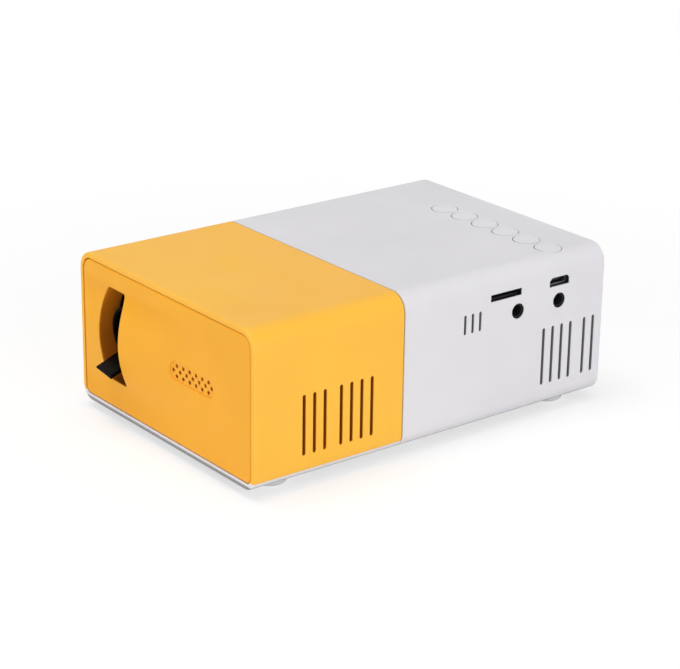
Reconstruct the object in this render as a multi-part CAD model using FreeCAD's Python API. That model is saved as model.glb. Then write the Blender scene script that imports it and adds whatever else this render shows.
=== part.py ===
import FreeCAD, Part
import math
import os

# Home projector: a small box projector with a two-colour casing.
#
# Millimetres. While the pieces are made, x runs across from the middle, y runs back from
# the front face and z runs up from the tray's underside. save() then moves every piece
# into the part's own frame: feet on z = 0, origin in the middle of the whole.

V = FreeCAD.Vector

# Two lengths nearer than this are taken as the same
TINY = 0.01

# ---- Driving dimensions ---------------------------------------------------------------

# Casing
BODY_WIDTH = 86.0
BODY_LENGTH = 126.0
BODY_HEIGHT = 45.6
TOP_RADIUS = 5.5
BOTTOM_RADIUS = 4.5
WALL = 1.8
FRONT_COVER_LENGTH = 50.4
COVER_GAP = 0.3
TONGUE_LENGTH = 4.0
TONGUE_WALL = 1.0
FRONT_EDGE = 0.5
SEAM_EDGE = 0.25
TRAY_EDGE = 0.3
PANEL_EDGE = 0.2
KEY_EDGE = 0.2
KEY_RIM_EDGE = 0.15
TRAY_STEP = 0.05
SEAT_GAP = 0.1
PANEL_INSET = 1.5
PANEL_GAP = 0.12
PANEL_THICKNESS = 2.0
RIB_THICKNESS = 1.2
RIB_HEIGHT = 4.0
SNAP_TAB_SHARES = (0.3, 0.7)

# Feet
FOOT_HEIGHT = 2.4
FOOT_RADIUS = 5.0
FOOT_SEAT_DEPTH = 0.5
FOOT_EDGE = 0.7
FOOT_SIDE_DISTANCE = 10.0
FOOT_END_DISTANCE = 12.0

# Screws, all of the same thread
SCREW_RADIUS = 1.0
SCREW_CLEARANCE = 0.02
SCREW_HEAD_RADIUS = 1.8
SCREW_HEAD_HEIGHT = 1.1
HEAD_CLEARANCE = 0.2
POST_RADIUS = 2.0
FRONT_POST_Y = 20.0
REAR_POST_END_DISTANCE = 5.8
RIGHT_POST_END_DISTANCE = 66.0
POST_SEAT_HEIGHT = 3.0
CASE_SCREW_LENGTH = 10.0

# Tripod socket, 1/4 inch
TRIPOD_BORE_RADIUS = 2.55
TRIPOD_INSERT_RADIUS = 4.0
TRIPOD_FLANGE_LAP = 0.8
TRIPOD_FLANGE_THICKNESS = 0.8
TRIPOD_DEPTH = 8.0
TRIPOD_BOSS_WALL = 2.2

# Side vents on the covers: the front row counts back from the front face, the rear ones
# start at a distance from the back
VENT_WIDTH = 1.1
VENT_LOW = 7.1
VENT_HIGH = 24.7
VENT_PITCH = 3.52
VENT_GROUP_GAP = 5.5
FRONT_VENT_START = 16.35
FRONT_VENT_GROUPS = (3, 4)
REAR_VENT_END_DISTANCE = 23.25
REAR_VENT_GROUPS = (4, 2)
SMALL_VENT_WIDTH = 0.9
SMALL_VENT_END_DISTANCE = 53.55
SMALL_VENT_PITCH = 2.78
SMALL_VENT_COUNT = 3
SMALL_VENT_LOW = 29.2
SMALL_VENT_HIGH = 35.1

# Lens window and the swollen band beside it; side distances run from the lens axis
WINDOW_LEFT_RADIUS = 20.0
WINDOW_RING_GAP = 1.1
WINDOW_LEFT_CENTRE_Z = 23.4
WINDOW_LIP_OFFSET = 5.9
WINDOW_LOW = 10.4
WINDOW_HIGH = 38.3
HOOD_CROWN = 3.0
HOOD_END_CROWN = 0.05
HOOD_LENGTH = 27.0
HOOD_ROOT = 0.6
TUNNEL_WALL = 1.2
TUNNEL_LENGTH = 6.0

# Speaker grille
GRILLE_SIDE_DISTANCE = 28.7
GRILLE_Z = 23.5
GRILLE_LENGTH = 21.3
GRILLE_HEIGHT = 5.6
GRILLE_RECESS = 0.25
GRILLE_HOLE_RADIUS = 0.55
GRILLE_HOLE_PITCH = 3.0
GRILLE_ROW_PITCH = 1.5
GRILLE_ROWS = (6, 7, 6)
MESH_THICKNESS = 0.3
MESH_MARGIN = 1.5

# Speaker
SPEAKER_WIDTH = 28.0
SPEAKER_HEIGHT = 18.0
SPEAKER_DEPTH = 5.0
SPEAKER_WALL = 1.2
SPEAKER_CORNER_RADIUS = 5.4
SPEAKER_MAGNET_RADIUS = 6.0
SPEAKER_MAGNET_DEPTH = 3.0
SPEAKER_MAGNET_EDGE = 0.5
SPEAKER_RIB_LENGTH = 22.4
CONE_THICKNESS = 0.4
CONE_SETBACK = 0.8
COIL_RADIUS = 3.3
COIL_LENGTH = 1.8

# Lens and focus
AXIS_SIDE_DISTANCE = 18.1
AXIS_Z = 24.2
RING_RADIUS = 7.6
RING_WALL = 0.9
RING_FRONT_Y = 4.0
RING_LENGTH = 14.0
RUNNING_CLEARANCE = 0.08
TUBE_CLEARANCE = 0.1
TUBE_WALL = 0.9
TUBE_SETBACK = 3.0
TUBE_LENGTH = 22.0
FOCUS_TRAVEL = 2.0
FOCUS_TURN_LEFT_DEG = 24.0
FOCUS_TURN_RIGHT_DEG = 4.0
FOCUS_PIN_RADIUS = 0.55
FOCUS_PIN_SETBACK = 6.5
FOCUS_SLOT_CLEARANCE = 0.35
LEVER_WIDTH = 8.0
LEVER_THICKNESS = 1.5
LEVER_REACH = 4.5
LEVER_DROP = 3.3
MOUNT_WALL = 1.6
MOUNT_TUNNEL_GAP = 0.5
MOUNT_FLANGE = 25.0
MOUNT_FLANGE_THICKNESS = 2.0
MOUNT_SCREW_EDGE = 2.3

# Glass in the lens tube: middle thickness, then how far the front and back faces bulge
LENS_CLEARANCE = 0.04
FRONT_LENS = (3.9, 0.9, 0.5)
MIDDLE_LENS = (2.2, -0.5, -0.6)
REAR_LENS = (3.8, 0.6, 1.0)
LENS_AIR_GAP = 0.4
RETAINER_LENGTH = 1.5
RETAINER_WIDTH = 0.9
RETAINER_NEST = 0.3
SPACER_WIDTH = 0.8
REAR_LENS_SETBACK = 1.0

# Light engine
ENGINE_TUBE_GAP = 3.0
ENGINE_LENGTH = 52.0
ENGINE_WIDTH = 29.2
ENGINE_HEIGHT = 30.0
ENGINE_WALL = 1.4
ENGINE_FLOOR = 2.6
ENGINE_BEAM_RADIUS = 8.0
GLASS_MARGIN = 0.15
SLOT_DEPTH = 0.8
ENGINE_SCREW_X_OFFSET = 10.0
ENGINE_SCREW_END_DISTANCE = 8.0
ENGINE_SCREW_LENGTH = 7.6
ENGINE_POST_RADIUS = 2.6

# Glass that stands in the light box's slots: distance from the box's front, thickness
GLASS_PIECES = {
    "front_fresnel": (5.0, 1.2),
    "lcd_panel": (9.0, 2.2),
    "rear_fresnel": (14.0, 1.2),
    "heat_glass": (21.0, 1.1),
}

# Condenser lens before the light source
CONDENSER_END_DISTANCE = 16.0
CONDENSER_THICKNESS = 9.0
CONDENSER_FRONT_BULGE = 4.5
CONDENSER_BACK_BULGE = 0.8

# Light source
LED_BOARD_THICKNESS = 1.6
LED_BOARD_MARGIN = 1.0
LED_CHIP_SIZE = 8.0
LED_CHIP_THICKNESS = 1.2
LED_DOME_RADIUS = 3.2

# Heat sink
SINK_WIDTH = 28.0
SINK_HEIGHT = 20.0
SINK_BASE = 3.0
SINK_FIN_LENGTH = 15.0
SINK_FINS = 9
SINK_FIN_THICKNESS = 1.0

# Main board, hung under the rear cover
BOARD_UNDERSIDE = 34.9
BOARD_THICKNESS = 1.6
BOARD_ENGINE_GAP = 0.9
BOARD_WALL_GAP = 0.6
BOARD_LENGTH = 58.4
BOARD_BACK_GAP = 1.6
BOARD_WING_WIDTH = 6.6
BOARD_WING_LENGTH = 21.4
STANDOFF_RADIUS = 2.2
STANDOFF_EDGE = 3.6
BOARD_REAR_STANDOFF_EDGE = 3.4
BOARD_SCREW_LENGTH = 6.0
LEFT_STANDOFF_FRONT = 16.0

# Sockets in the right side, by their distance from the back
CARD_END_DISTANCE = 38.4
CARD_SLOT_WIDTH = 11.6
CARD_SLOT_HEIGHT = 2.1
CARD_SLOT_Z = 38.0
CARD_SOCKET_WALL = 1.2
CARD_SOCKET_ROOF = 0.3
CARD_SOCKET_STEP = 0.2
CARD_SOCKET_DEPTH = 14.0
SOCKET_MOUTH_DEPTH = 1.5
USB_MICRO_END_DISTANCE = 17.95
USB_MICRO_WIDTH = 7.3
USB_MICRO_HEIGHT = 2.45
USB_MICRO_Z = 38.1
USB_MICRO_DEPTH = 4.6
USB_MICRO_SHELL = 0.3
USB_MICRO_CHAMFER = 0.9
USB_MICRO_BACK_WALL = 0.8
USB_MICRO_TONGUE = 0.65
USB_MICRO_TONGUE_WIDTH = 3.8
JACK_Z = 32.2
HEADPHONE_JACK_END_DISTANCE = 33.74
AV_JACK_END_DISTANCE = 17.81
JACK_HOLE_RADIUS = 2.3
JACK_NOSE_SETBACK = 0.6
JACK_BACK_WALL = 1.0
JACK_BORE_RADIUS = 1.78
JACK_BODY_WIDTH = 6.2
JACK_BODY_DEPTH = 12.0
SOCKET_GAP = 0.15

# Sockets in the back, by their distance from the right side
HDMI_SIDE_DISTANCE = 45.0
HDMI_WIDTH = 15.0
HDMI_HEIGHT = 5.5
HDMI_DEPTH = 11.0
HDMI_TONGUE = (10.8, 2.0, 1.5)
USB_A_SIDE_DISTANCE = 25.0
USB_A_WIDTH = 13.2
USB_A_HEIGHT = 5.7
USB_A_DEPTH = 14.0
USB_A_TONGUE = (11.1, 3.1, 1.6)
BACK_SOCKET_SHELL = 0.4
BACK_SOCKET_BACK_WALL = 1.5
BACK_SOCKET_SETBACK = 0.3
BACK_SOCKET_TONGUE_SETBACK = 0.8
IR_SIDE_DISTANCE = 15.0
IR_Z = 32.0
IR_WINDOW_RADIUS = 2.6
IR_WINDOW_FLANGE = 0.8
IR_RECEIVER_WIDTH = 5.0
IR_RECEIVER_THICKNESS = 2.8
IR_RECEIVER_GAP = 2.4
IR_RECEIVER_DROP = 2.6
IR_DOME_RADIUS = 1.9
BACK_VENT_COUNT = 7
BACK_VENT_PITCH = 3.4
BACK_VENT_WIDTH = 1.4
BACK_VENT_LOW = 9.0
BACK_VENT_HIGH = 36.0

# Small pieces on the main board. Chips: distances from its right and front edges, half
# sizes across and back, thickness, and 1 for the top or -1 for the underside
CHIPS = (
    (26.6, 18.0, 7.0, 7.0, 1.4, 1),
    (14.6, 10.0, 4.0, 4.5, 1.2, 1),
    (38.6, 28.0, 3.0, 4.5, 1.2, 1),
    (26.6, 34.0, 4.0, 3.0, 1.2, 1),
    (40.6, 10.0, 2.4, 4.5, 1.6, -1),
    (22.6, 26.0, 5.0, 5.0, 1.2, -1),
)
PLUG_HEIGHT = 2.4
SPEAKER_PLUG_RIGHT = 18.6
SPEAKER_PLUG_FRONT = 4.0
SPEAKER_PLUG_HALF_SIZES = (3.0, 1.8)
RIBBON_PLUG_LEFT = 3.0
RIBBON_PLUG_FRONT = 5.0
RIBBON_PLUG_HALF_WIDTH = 1.6
CAPACITOR_PLACES = ((32.6, 40.0), (32.6, 32.0), (43.6, 40.0), (12.6, 38.0))
CAPACITOR_RADIUS = 2.9
CAPACITOR_HEIGHT = 6.5
CAPACITOR_EDGE = 0.4

# Keys on the top
KEY_COUNT = 6
KEY_SIDE_DISTANCE = 8.05
KEY_PITCH = 9.22
KEY_END_DISTANCE = 15.6
KEY_HOLE_RADIUS = 4.12
KEY_GAP = 0.17
KEY_FLANGE_LAP = 0.3
KEY_FLANGE_THICKNESS = 0.8
KEY_STEM_RADIUS = 1.3
KEY_TRAVEL = 0.7
KEY_SPARE = 0.1
SWITCH_SIZE = 3.0
SWITCH_BODY_HEIGHT = 1.8
SWITCH_HEIGHT = 3.2
SWITCH_PLUNGER_RADIUS = 0.8

# Fan behind the rear vents
FAN_SIZE = 25.0
FAN_DEPTH = 7.0
FAN_BACK_GAP = 0.1
FAN_JACK_GAP = 0.2
FAN_WALL_GAP = 0.6
FAN_RIM = 0.8
FAN_BLADE_GAP = 0.6
FAN_CORNER_RADIUS = 2.0
FAN_HUB_RADIUS = 5.2
FAN_HUB_LENGTH = 4.6
FAN_HUB_GAP = 0.5
FAN_HUB_EDGE = 0.6
FAN_BLADES = 7
FAN_BLADE_PITCH_DEG = 38.0
FAN_BLADE_THICKNESS = 0.7
FAN_BLADE_CHORD = 5.0
FAN_SHAFT_RADIUS = 0.8
FAN_SHAFT_CLEARANCE = 0.05
FAN_PLATE = 1.0
FAN_SCREW_EDGE = 2.3
FAN_SCREW_GRIP = 1.0
FAN_PAD_RADIUS = 2.0
FAN_STRUTS = 3
FAN_STRUT_WIDTH = 1.4

# Leads inside the casing
LEAD_RADIUS = 0.6
RIBBON_SIDE_OFFSET = 2.0
RIBBON_WIDTH = 8.0
RIBBON_THICKNESS = 0.25
RIBBON_GAP = 0.5

# ---- Sizes worked out from them ----------------------------------------------------------

HALF_WIDTH = BODY_WIDTH / 2
INNER_SIDE = HALF_WIDTH - WALL
LIP_HEIGHT = WALL + TRAY_STEP
TRIPOD_FLANGE_RADIUS = TRIPOD_INSERT_RADIUS + TRIPOD_FLANGE_LAP
AXIS_X = AXIS_SIDE_DISTANCE - HALF_WIDTH
WINDOW_LEFT_CENTRE_X = AXIS_X + WINDOW_LEFT_RADIUS - RING_RADIUS - WINDOW_RING_GAP
WINDOW_LIP_X = AXIS_X + WINDOW_LIP_OFFSET
HOOD_END_X = WINDOW_LIP_X + HOOD_LENGTH
GRILLE_X = HALF_WIDTH - GRILLE_SIDE_DISTANCE
POST_X = HALF_WIDTH - BOTTOM_RADIUS - POST_RADIUS + SEAT_GAP
FOOT_X = HALF_WIDTH - FOOT_SIDE_DISTANCE
INNER_TOP = BODY_HEIGHT - WALL
BOARD_TOP = BOARD_UNDERSIDE + BOARD_THICKNESS
BOARD_RIGHT = INNER_SIDE - BOARD_WALL_GAP
BOARD_BACK_Y = BODY_LENGTH - PANEL_THICKNESS - BOARD_BACK_GAP
REAR_COVER_START = FRONT_COVER_LENGTH + COVER_GAP
REAR_POST_Y = BODY_LENGTH - REAR_POST_END_DISTANCE
RIGHT_POST_Y = BODY_LENGTH - RIGHT_POST_END_DISTANCE
REAR_VENT_START = BODY_LENGTH - REAR_VENT_END_DISTANCE
SMALL_VENT_START = BODY_LENGTH - SMALL_VENT_END_DISTANCE
CARD_Y = BODY_LENGTH - CARD_END_DISTANCE
USB_MICRO_Y = BODY_LENGTH - USB_MICRO_END_DISTANCE
HEADPHONE_JACK_Y = BODY_LENGTH - HEADPHONE_JACK_END_DISTANCE
AV_JACK_Y = BODY_LENGTH - AV_JACK_END_DISTANCE
HDMI_X = HALF_WIDTH - HDMI_SIDE_DISTANCE
USB_A_X = HALF_WIDTH - USB_A_SIDE_DISTANCE
IR_X = HALF_WIDTH - IR_SIDE_DISTANCE
KEY_START_X = HALF_WIDTH - KEY_SIDE_DISTANCE - (KEY_COUNT - 1) * KEY_PITCH
KEY_Y = BODY_LENGTH - KEY_END_DISTANCE
POST_FOOT_Z = LIP_HEIGHT + POST_SEAT_HEIGHT
RIB_TOP = POST_FOOT_Z - SEAT_GAP
BACK_Y = BODY_LENGTH - PANEL_THICKNESS
SOCKET_MOUTH_X = HALF_WIDTH - SOCKET_MOUTH_DEPTH
JACK_NOSE_RADIUS = JACK_HOLE_RADIUS - SOCKET_GAP
JACK_LOW = 2 * JACK_Z - BOARD_UNDERSIDE
KEY_FLANGE_RADIUS = KEY_HOLE_RADIUS + KEY_FLANGE_LAP
RING_INNER_RADIUS = RING_RADIUS - RING_WALL
RING_BACK_Y = RING_FRONT_Y + RING_LENGTH
TUBE_RADIUS = RING_INNER_RADIUS - TUBE_CLEARANCE
TUBE_BORE_RADIUS = TUBE_RADIUS - TUBE_WALL
TUBE_FRONT_Y = RING_FRONT_Y + TUBE_SETBACK
TUBE_BACK_Y = TUBE_FRONT_Y + TUBE_LENGTH
LENS_RADIUS = TUBE_BORE_RADIUS - LENS_CLEARANCE
FOCUS_PIN_Y = RING_FRONT_Y + FOCUS_PIN_SETBACK
LEVER_ROOT_Z = AXIS_Z - RING_RADIUS + LEVER_THICKNESS + SEAT_GAP
LEVER_TIP_Z = LEVER_ROOT_Z - LEVER_DROP
MOUNT_FRONT_Y = PANEL_THICKNESS + TUNNEL_LENGTH + MOUNT_TUNNEL_GAP
MOUNT_SCREW_OFFSET = MOUNT_FLANGE / 2 - MOUNT_SCREW_EDGE
ENGINE_START_Y = TUBE_BACK_Y + ENGINE_TUBE_GAP
ENGINE_BACK_Y = ENGINE_START_Y + ENGINE_LENGTH
CONDENSER_Y = ENGINE_BACK_Y - CONDENSER_END_DISTANCE
ENGINE_LOW = AXIS_Z - ENGINE_HEIGHT / 2
ENGINE_HIGH = AXIS_Z + ENGINE_HEIGHT / 2
ENGINE_LEFT = AXIS_X - ENGINE_WIDTH / 2
ENGINE_RIGHT = AXIS_X + ENGINE_WIDTH / 2
SINK_FRONT_Y = ENGINE_BACK_Y + LED_BOARD_THICKNESS
FAN_Y = BACK_Y - FAN_BACK_GAP - FAN_SIZE / 2
FAN_Z = JACK_LOW - FAN_JACK_GAP - FAN_SIZE / 2
FAN_BORE_RADIUS = FAN_SIZE / 2 - FAN_RIM
FAN_BLADE_RADIUS = FAN_BORE_RADIUS - FAN_BLADE_GAP
FAN_SCREW_OFFSET = FAN_SIZE / 2 - FAN_SCREW_EDGE
FAN_OUTER_X = INNER_SIDE - FAN_WALL_GAP
FAN_INNER_X = FAN_OUTER_X - FAN_DEPTH
BOARD_LEFT = ENGINE_RIGHT + BOARD_ENGINE_GAP
BOARD_FRONT_Y = BOARD_BACK_Y - BOARD_LENGTH
BOARD_WING_LEFT = BOARD_LEFT - BOARD_WING_WIDTH
BOARD_WING_FRONT_Y = BOARD_BACK_Y - BOARD_WING_LENGTH
STANDOFFS = (
    (BOARD_LEFT + STANDOFF_EDGE, BOARD_FRONT_Y + LEFT_STANDOFF_FRONT),
    (BOARD_RIGHT - 2 * STANDOFF_EDGE, BOARD_FRONT_Y + STANDOFF_EDGE),
    (BOARD_WING_LEFT + STANDOFF_EDGE, BOARD_BACK_Y - BOARD_REAR_STANDOFF_EDGE),
    (BOARD_RIGHT - STANDOFF_EDGE - POST_RADIUS, BOARD_BACK_Y - BOARD_REAR_STANDOFF_EDGE),
)
SPEAKER_PLUG_X = BOARD_RIGHT - SPEAKER_PLUG_RIGHT
SPEAKER_PLUG_Y = BOARD_FRONT_Y + SPEAKER_PLUG_FRONT
RIBBON_PLUG_X = BOARD_LEFT + RIBBON_PLUG_LEFT
RIBBON_PLUG_Y = BOARD_FRONT_Y + RIBBON_PLUG_FRONT
SHIFT_Y = (LEVER_REACH - BODY_LENGTH) / 2
CASE_POSTS = (
    (-POST_X, FRONT_POST_Y),
    (POST_X, FRONT_POST_Y),
    (-POST_X, REAR_POST_Y),
    (POST_X, RIGHT_POST_Y),
)
ENGINE_SCREWS = [
    (AXIS_X + side * ENGINE_SCREW_X_OFFSET, y)
    for side in (-1, 1)
    for y in (ENGINE_START_Y + ENGINE_SCREW_END_DISTANCE, ENGINE_BACK_Y - ENGINE_SCREW_END_DISTANCE)
]


# ---- Small shape helpers ------------------------------------------------------------------

def box(x0, x1, y0, y1, z0, z1):
    return Part.makeBox(x1 - x0, y1 - y0, z1 - z0, V(x0, y0, z0))


def rod_x(radius, x0, x1, y, z):
    return Part.makeCylinder(radius, x1 - x0, V(x0, y, z), V(1, 0, 0))


def rod_y(radius, y0, y1, x, z):
    return Part.makeCylinder(radius, y1 - y0, V(x, y0, z), V(0, 1, 0))


def rod_z(radius, z0, z1, x, y):
    return Part.makeCylinder(radius, z1 - z0, V(x, y, z0), V(0, 0, 1))


def prism(edges, direction):
    return Part.Face(Part.Wire(edges)).extrude(direction)


def line(a, b):
    return Part.LineSegment(a, b).toShape()


def arc(a, b, c):
    return Part.Arc(a, b, c).toShape()


def polygon_prism(points, direction):
    closed = list(points) + [points[0]]
    return Part.Face(Part.makePolygon(closed)).extrude(direction)


def casing_solid(inset, y0, y1):
    """The casing's rounded section, shrunk by inset, from y0 to y1."""
    half = HALF_WIDTH - inset
    low = inset
    high = BODY_HEIGHT - inset
    rb = BOTTOM_RADIUS - inset
    rt = TOP_RADIUS - inset
    diagonal = 1 - math.sqrt(0.5)
    right_low = V(half, y0, low + rb)
    right_high = V(half, y0, high - rt)
    top_right = V(half - rt, y0, high)
    top_left = V(rt - half, y0, high)
    left_high = V(-half, y0, high - rt)
    left_low = V(-half, y0, low + rb)
    bottom_left = V(rb - half, y0, low)
    bottom_right = V(half - rb, y0, low)
    edges = [
        line(right_low, right_high),
        arc(right_high, V(half - rt * diagonal, y0, high - rt * diagonal), top_right),
        line(top_right, top_left),
        arc(top_left, V(rt * diagonal - half, y0, high - rt * diagonal), left_high),
        line(left_high, left_low),
        arc(left_low, V(rb * diagonal - half, y0, low + rb * diagonal), bottom_left),
        line(bottom_left, bottom_right),
        arc(bottom_right, V(half - rb * diagonal, y0, low + rb * diagonal), right_low),
    ]
    return prism(edges, V(0, y1 - y0, 0))


def above(z):
    """Everything over the height z, to keep the upper part of a casing solid."""
    return box(-BODY_WIDTH, BODY_WIDTH, -BODY_LENGTH, 2 * BODY_LENGTH, z, 2 * BODY_HEIGHT)


def pill_x(y, z0, z1, width, x0, x1):
    """An upright slot with round ends, cut along x."""
    r = width / 2
    edges = [
        line(V(x0, y + r, z0 + r), V(x0, y + r, z1 - r)),
        arc(V(x0, y + r, z1 - r), V(x0, y, z1), V(x0, y - r, z1 - r)),
        line(V(x0, y - r, z1 - r), V(x0, y - r, z0 + r)),
        arc(V(x0, y - r, z0 + r), V(x0, y, z0), V(x0, y + r, z0 + r)),
    ]
    return prism(edges, V(x1 - x0, 0, 0))


def pill_y(x, z, length, height, y0, y1):
    """A level slot with round ends, cut along y."""
    r = height / 2
    half = length / 2 - r
    edges = [
        line(V(x - half, y0, z + r), V(x + half, y0, z + r)),
        arc(V(x + half, y0, z + r), V(x + half + r, y0, z), V(x + half, y0, z - r)),
        line(V(x + half, y0, z - r), V(x - half, y0, z - r)),
        arc(V(x - half, y0, z - r), V(x - half - r, y0, z), V(x - half, y0, z + r)),
    ]
    return prism(edges, V(0, y1 - y0, 0))


def pill_upright(x, z0, z1, width, y0, y1):
    """An upright slot with round ends, cut along y."""
    r = width / 2
    edges = [
        line(V(x + r, y0, z0 + r), V(x + r, y0, z1 - r)),
        arc(V(x + r, y0, z1 - r), V(x, y0, z1), V(x - r, y0, z1 - r)),
        line(V(x - r, y0, z1 - r), V(x - r, y0, z0 + r)),
        arc(V(x - r, y0, z0 + r), V(x, y0, z0), V(x + r, y0, z0 + r)),
    ]
    return prism(edges, V(0, y1 - y0, 0))


def fuse(first, others):
    return first.multiFuse(others).removeSplitter()


def screw(length, head_at, tip_direction):
    """A pan-head screw with a cross recess; its head's seat is at head_at."""
    head_start = head_at - tip_direction * SCREW_HEAD_HEIGHT
    head = Part.makeCylinder(SCREW_HEAD_RADIUS, SCREW_HEAD_HEIGHT, head_start, tip_direction)
    shank = Part.makeCylinder(SCREW_RADIUS, length, head_at, tip_direction)
    recess_depth = SCREW_HEAD_HEIGHT / 2
    recess_length = SCREW_HEAD_RADIUS * 1.2
    recess_width = SCREW_HEAD_RADIUS * 0.3
    solid = head.fuse(shank)
    for turn in (0, 90):
        bar = Part.makeBox(recess_length, recess_width, 2 * recess_depth,
                           V(-recess_length / 2, -recess_width / 2, -recess_depth))
        bar.rotate(V(0, 0, 0), V(0, 0, 1), turn)
        bar.Placement = FreeCAD.Placement(
            head_start, FreeCAD.Rotation(V(0, 0, 1), tip_direction)).multiply(bar.Placement)
        solid = solid.cut(bar)
    return solid


def lead(points, radius):
    """A round lead through the points: straight runs joined by tangent arcs."""
    edges = []
    start = points[0]
    for i in range(1, len(points) - 1):
        before = points[i - 1] - points[i]
        after = points[i + 1] - points[i]
        half_turn = (math.pi - before.getAngle(after)) / 2
        trim = 0.45 * min(before.Length, after.Length)
        bend = trim / math.tan(half_turn)
        into = points[i] + before.normalize() * trim
        out = points[i] + after.normalize() * trim
        bisector = (before + after).normalize()
        centre_distance = bend / math.cos(half_turn)
        middle = points[i] + bisector * (centre_distance - bend)
        edges.append(line(start, into))
        edges.append(arc(into, middle, out))
        start = out
    edges.append(line(start, points[-1]))
    path = Part.Wire(edges)
    end_direction = (points[1] - points[0]).normalize()
    section = Part.Wire([Part.makeCircle(radius, points[0], end_direction)])
    return path.makePipeShell([section], True, True)


def face_depth(radius, bulge, r):
    """How far a round glass face has fallen back from its middle at the distance r from the axis."""
    curve = (radius ** 2 + bulge ** 2) / (2 * bulge)
    return curve - math.copysign(math.sqrt(curve ** 2 - r ** 2), curve)


def lens(radius, y_front, thickness, front_bulge, back_bulge):
    """A lens turned about the optical axis; a face with a positive bulge is convex."""
    y_back = y_front + thickness
    edge_front = y_front + front_bulge
    edge_back = y_back - back_bulge
    mid = radius / 2
    mid_front = y_front + face_depth(radius, front_bulge, mid)
    mid_back = y_back - face_depth(radius, back_bulge, mid)

    def at(r, y):
        return V(AXIS_X + r, y, AXIS_Z)
    edges = [
        arc(at(0, y_front), at(mid, mid_front), at(radius, edge_front)),
        line(at(radius, edge_front), at(radius, edge_back)),
        arc(at(radius, edge_back), at(mid, mid_back), at(0, y_back)),
        line(at(0, y_back), at(0, y_front)),
    ]
    return Part.Face(Part.Wire(edges)).revolve(V(AXIS_X, 0, AXIS_Z), V(0, 1, 0), 360)


def is_circle(edge):
    return isinstance(edge.Curve, Part.Circle)


def lies_at(edge, y):
    return abs(edge.BoundBox.YMin - y) < TINY and abs(edge.BoundBox.YMax - y) < TINY


def soften_outline(solid, y, inset, radius):
    """Round the edges of a casing piece that lie in the plane y on the section at this inset."""
    inside = casing_solid(inset + TINY, y - 1, y + 1)
    edges = []
    for edge in solid.Edges:
        middle = edge.valueAt((edge.FirstParameter + edge.LastParameter) / 2)
        above_lip = edge.BoundBox.ZMax > LIP_HEIGHT + PANEL_GAP + TINY
        if lies_at(edge, y) and above_lip and not inside.isInside(middle, 0, True):
            edges.append(edge)
    return solid.makeFillet(radius, edges)


def save(name, shape):
    placed = shape.copy()
    placed.translate(V(0, SHIFT_Y, FOOT_HEIGHT))
    if not placed.isValid():
        raise ValueError(name + " is not a valid shape")
    print(name, len(placed.Solids), round(placed.Volume, 1))
    placed.exportStep("parts/" + name + ".step")


def save_group(name, solids):
    save(name, Part.makeCompound(solids))


# ---- Openings shared by several pieces ------------------------------------------------------

def vent_row(start, groups):
    """Where each slot of a row of side vents stands, group by group."""
    places = []
    y = start
    for count in groups:
        places += [y + i * VENT_PITCH for i in range(count)]
        y = places[-1] + VENT_GROUP_GAP
    return places


def side_vents(places, low, high, width):
    x0 = INNER_SIDE - WALL
    return [pill_x(y, low, high, width, x0, HALF_WIDTH + 1) for y in places]


def window_solid(grow, y0, y1):
    """The lens window: a round left side, straight top, bottom and right side."""
    radius = WINDOW_LEFT_RADIUS + grow
    low = WINDOW_LOW - grow
    high = WINDOW_HIGH + grow

    def left_x(z):
        return WINDOW_LEFT_CENTRE_X - math.sqrt(radius ** 2 - (z - WINDOW_LEFT_CENTRE_Z) ** 2)
    top_left = V(left_x(high), y0, high)
    middle_left = V(WINDOW_LEFT_CENTRE_X - radius, y0, WINDOW_LEFT_CENTRE_Z)
    bottom_left = V(left_x(low), y0, low)
    bottom_right = V(WINDOW_LIP_X, y0, low)
    top_right = V(WINDOW_LIP_X, y0, high)
    edges = [
        arc(top_left, middle_left, bottom_left),
        line(bottom_left, bottom_right),
        line(bottom_right, top_right),
        line(top_right, top_left),
    ]
    return prism(edges, V(0, y1 - y0, 0))


def d_section(y, z, width, height, chamfer, x0, x1):
    """A socket mouth with two chamfered upper corners, along x."""
    half = width / 2
    low = z - height / 2
    high = z + height / 2
    points = [
        V(x0, y - half, low),
        V(x0, y + half, low),
        V(x0, y + half, high - chamfer),
        V(x0, y + half - chamfer, high),
        V(x0, y - half + chamfer, high),
        V(x0, y - half, high - chamfer),
    ]
    return polygon_prism(points, V(x1 - x0, 0, 0))


# ---- Casing -------------------------------------------------------------------------------

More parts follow.
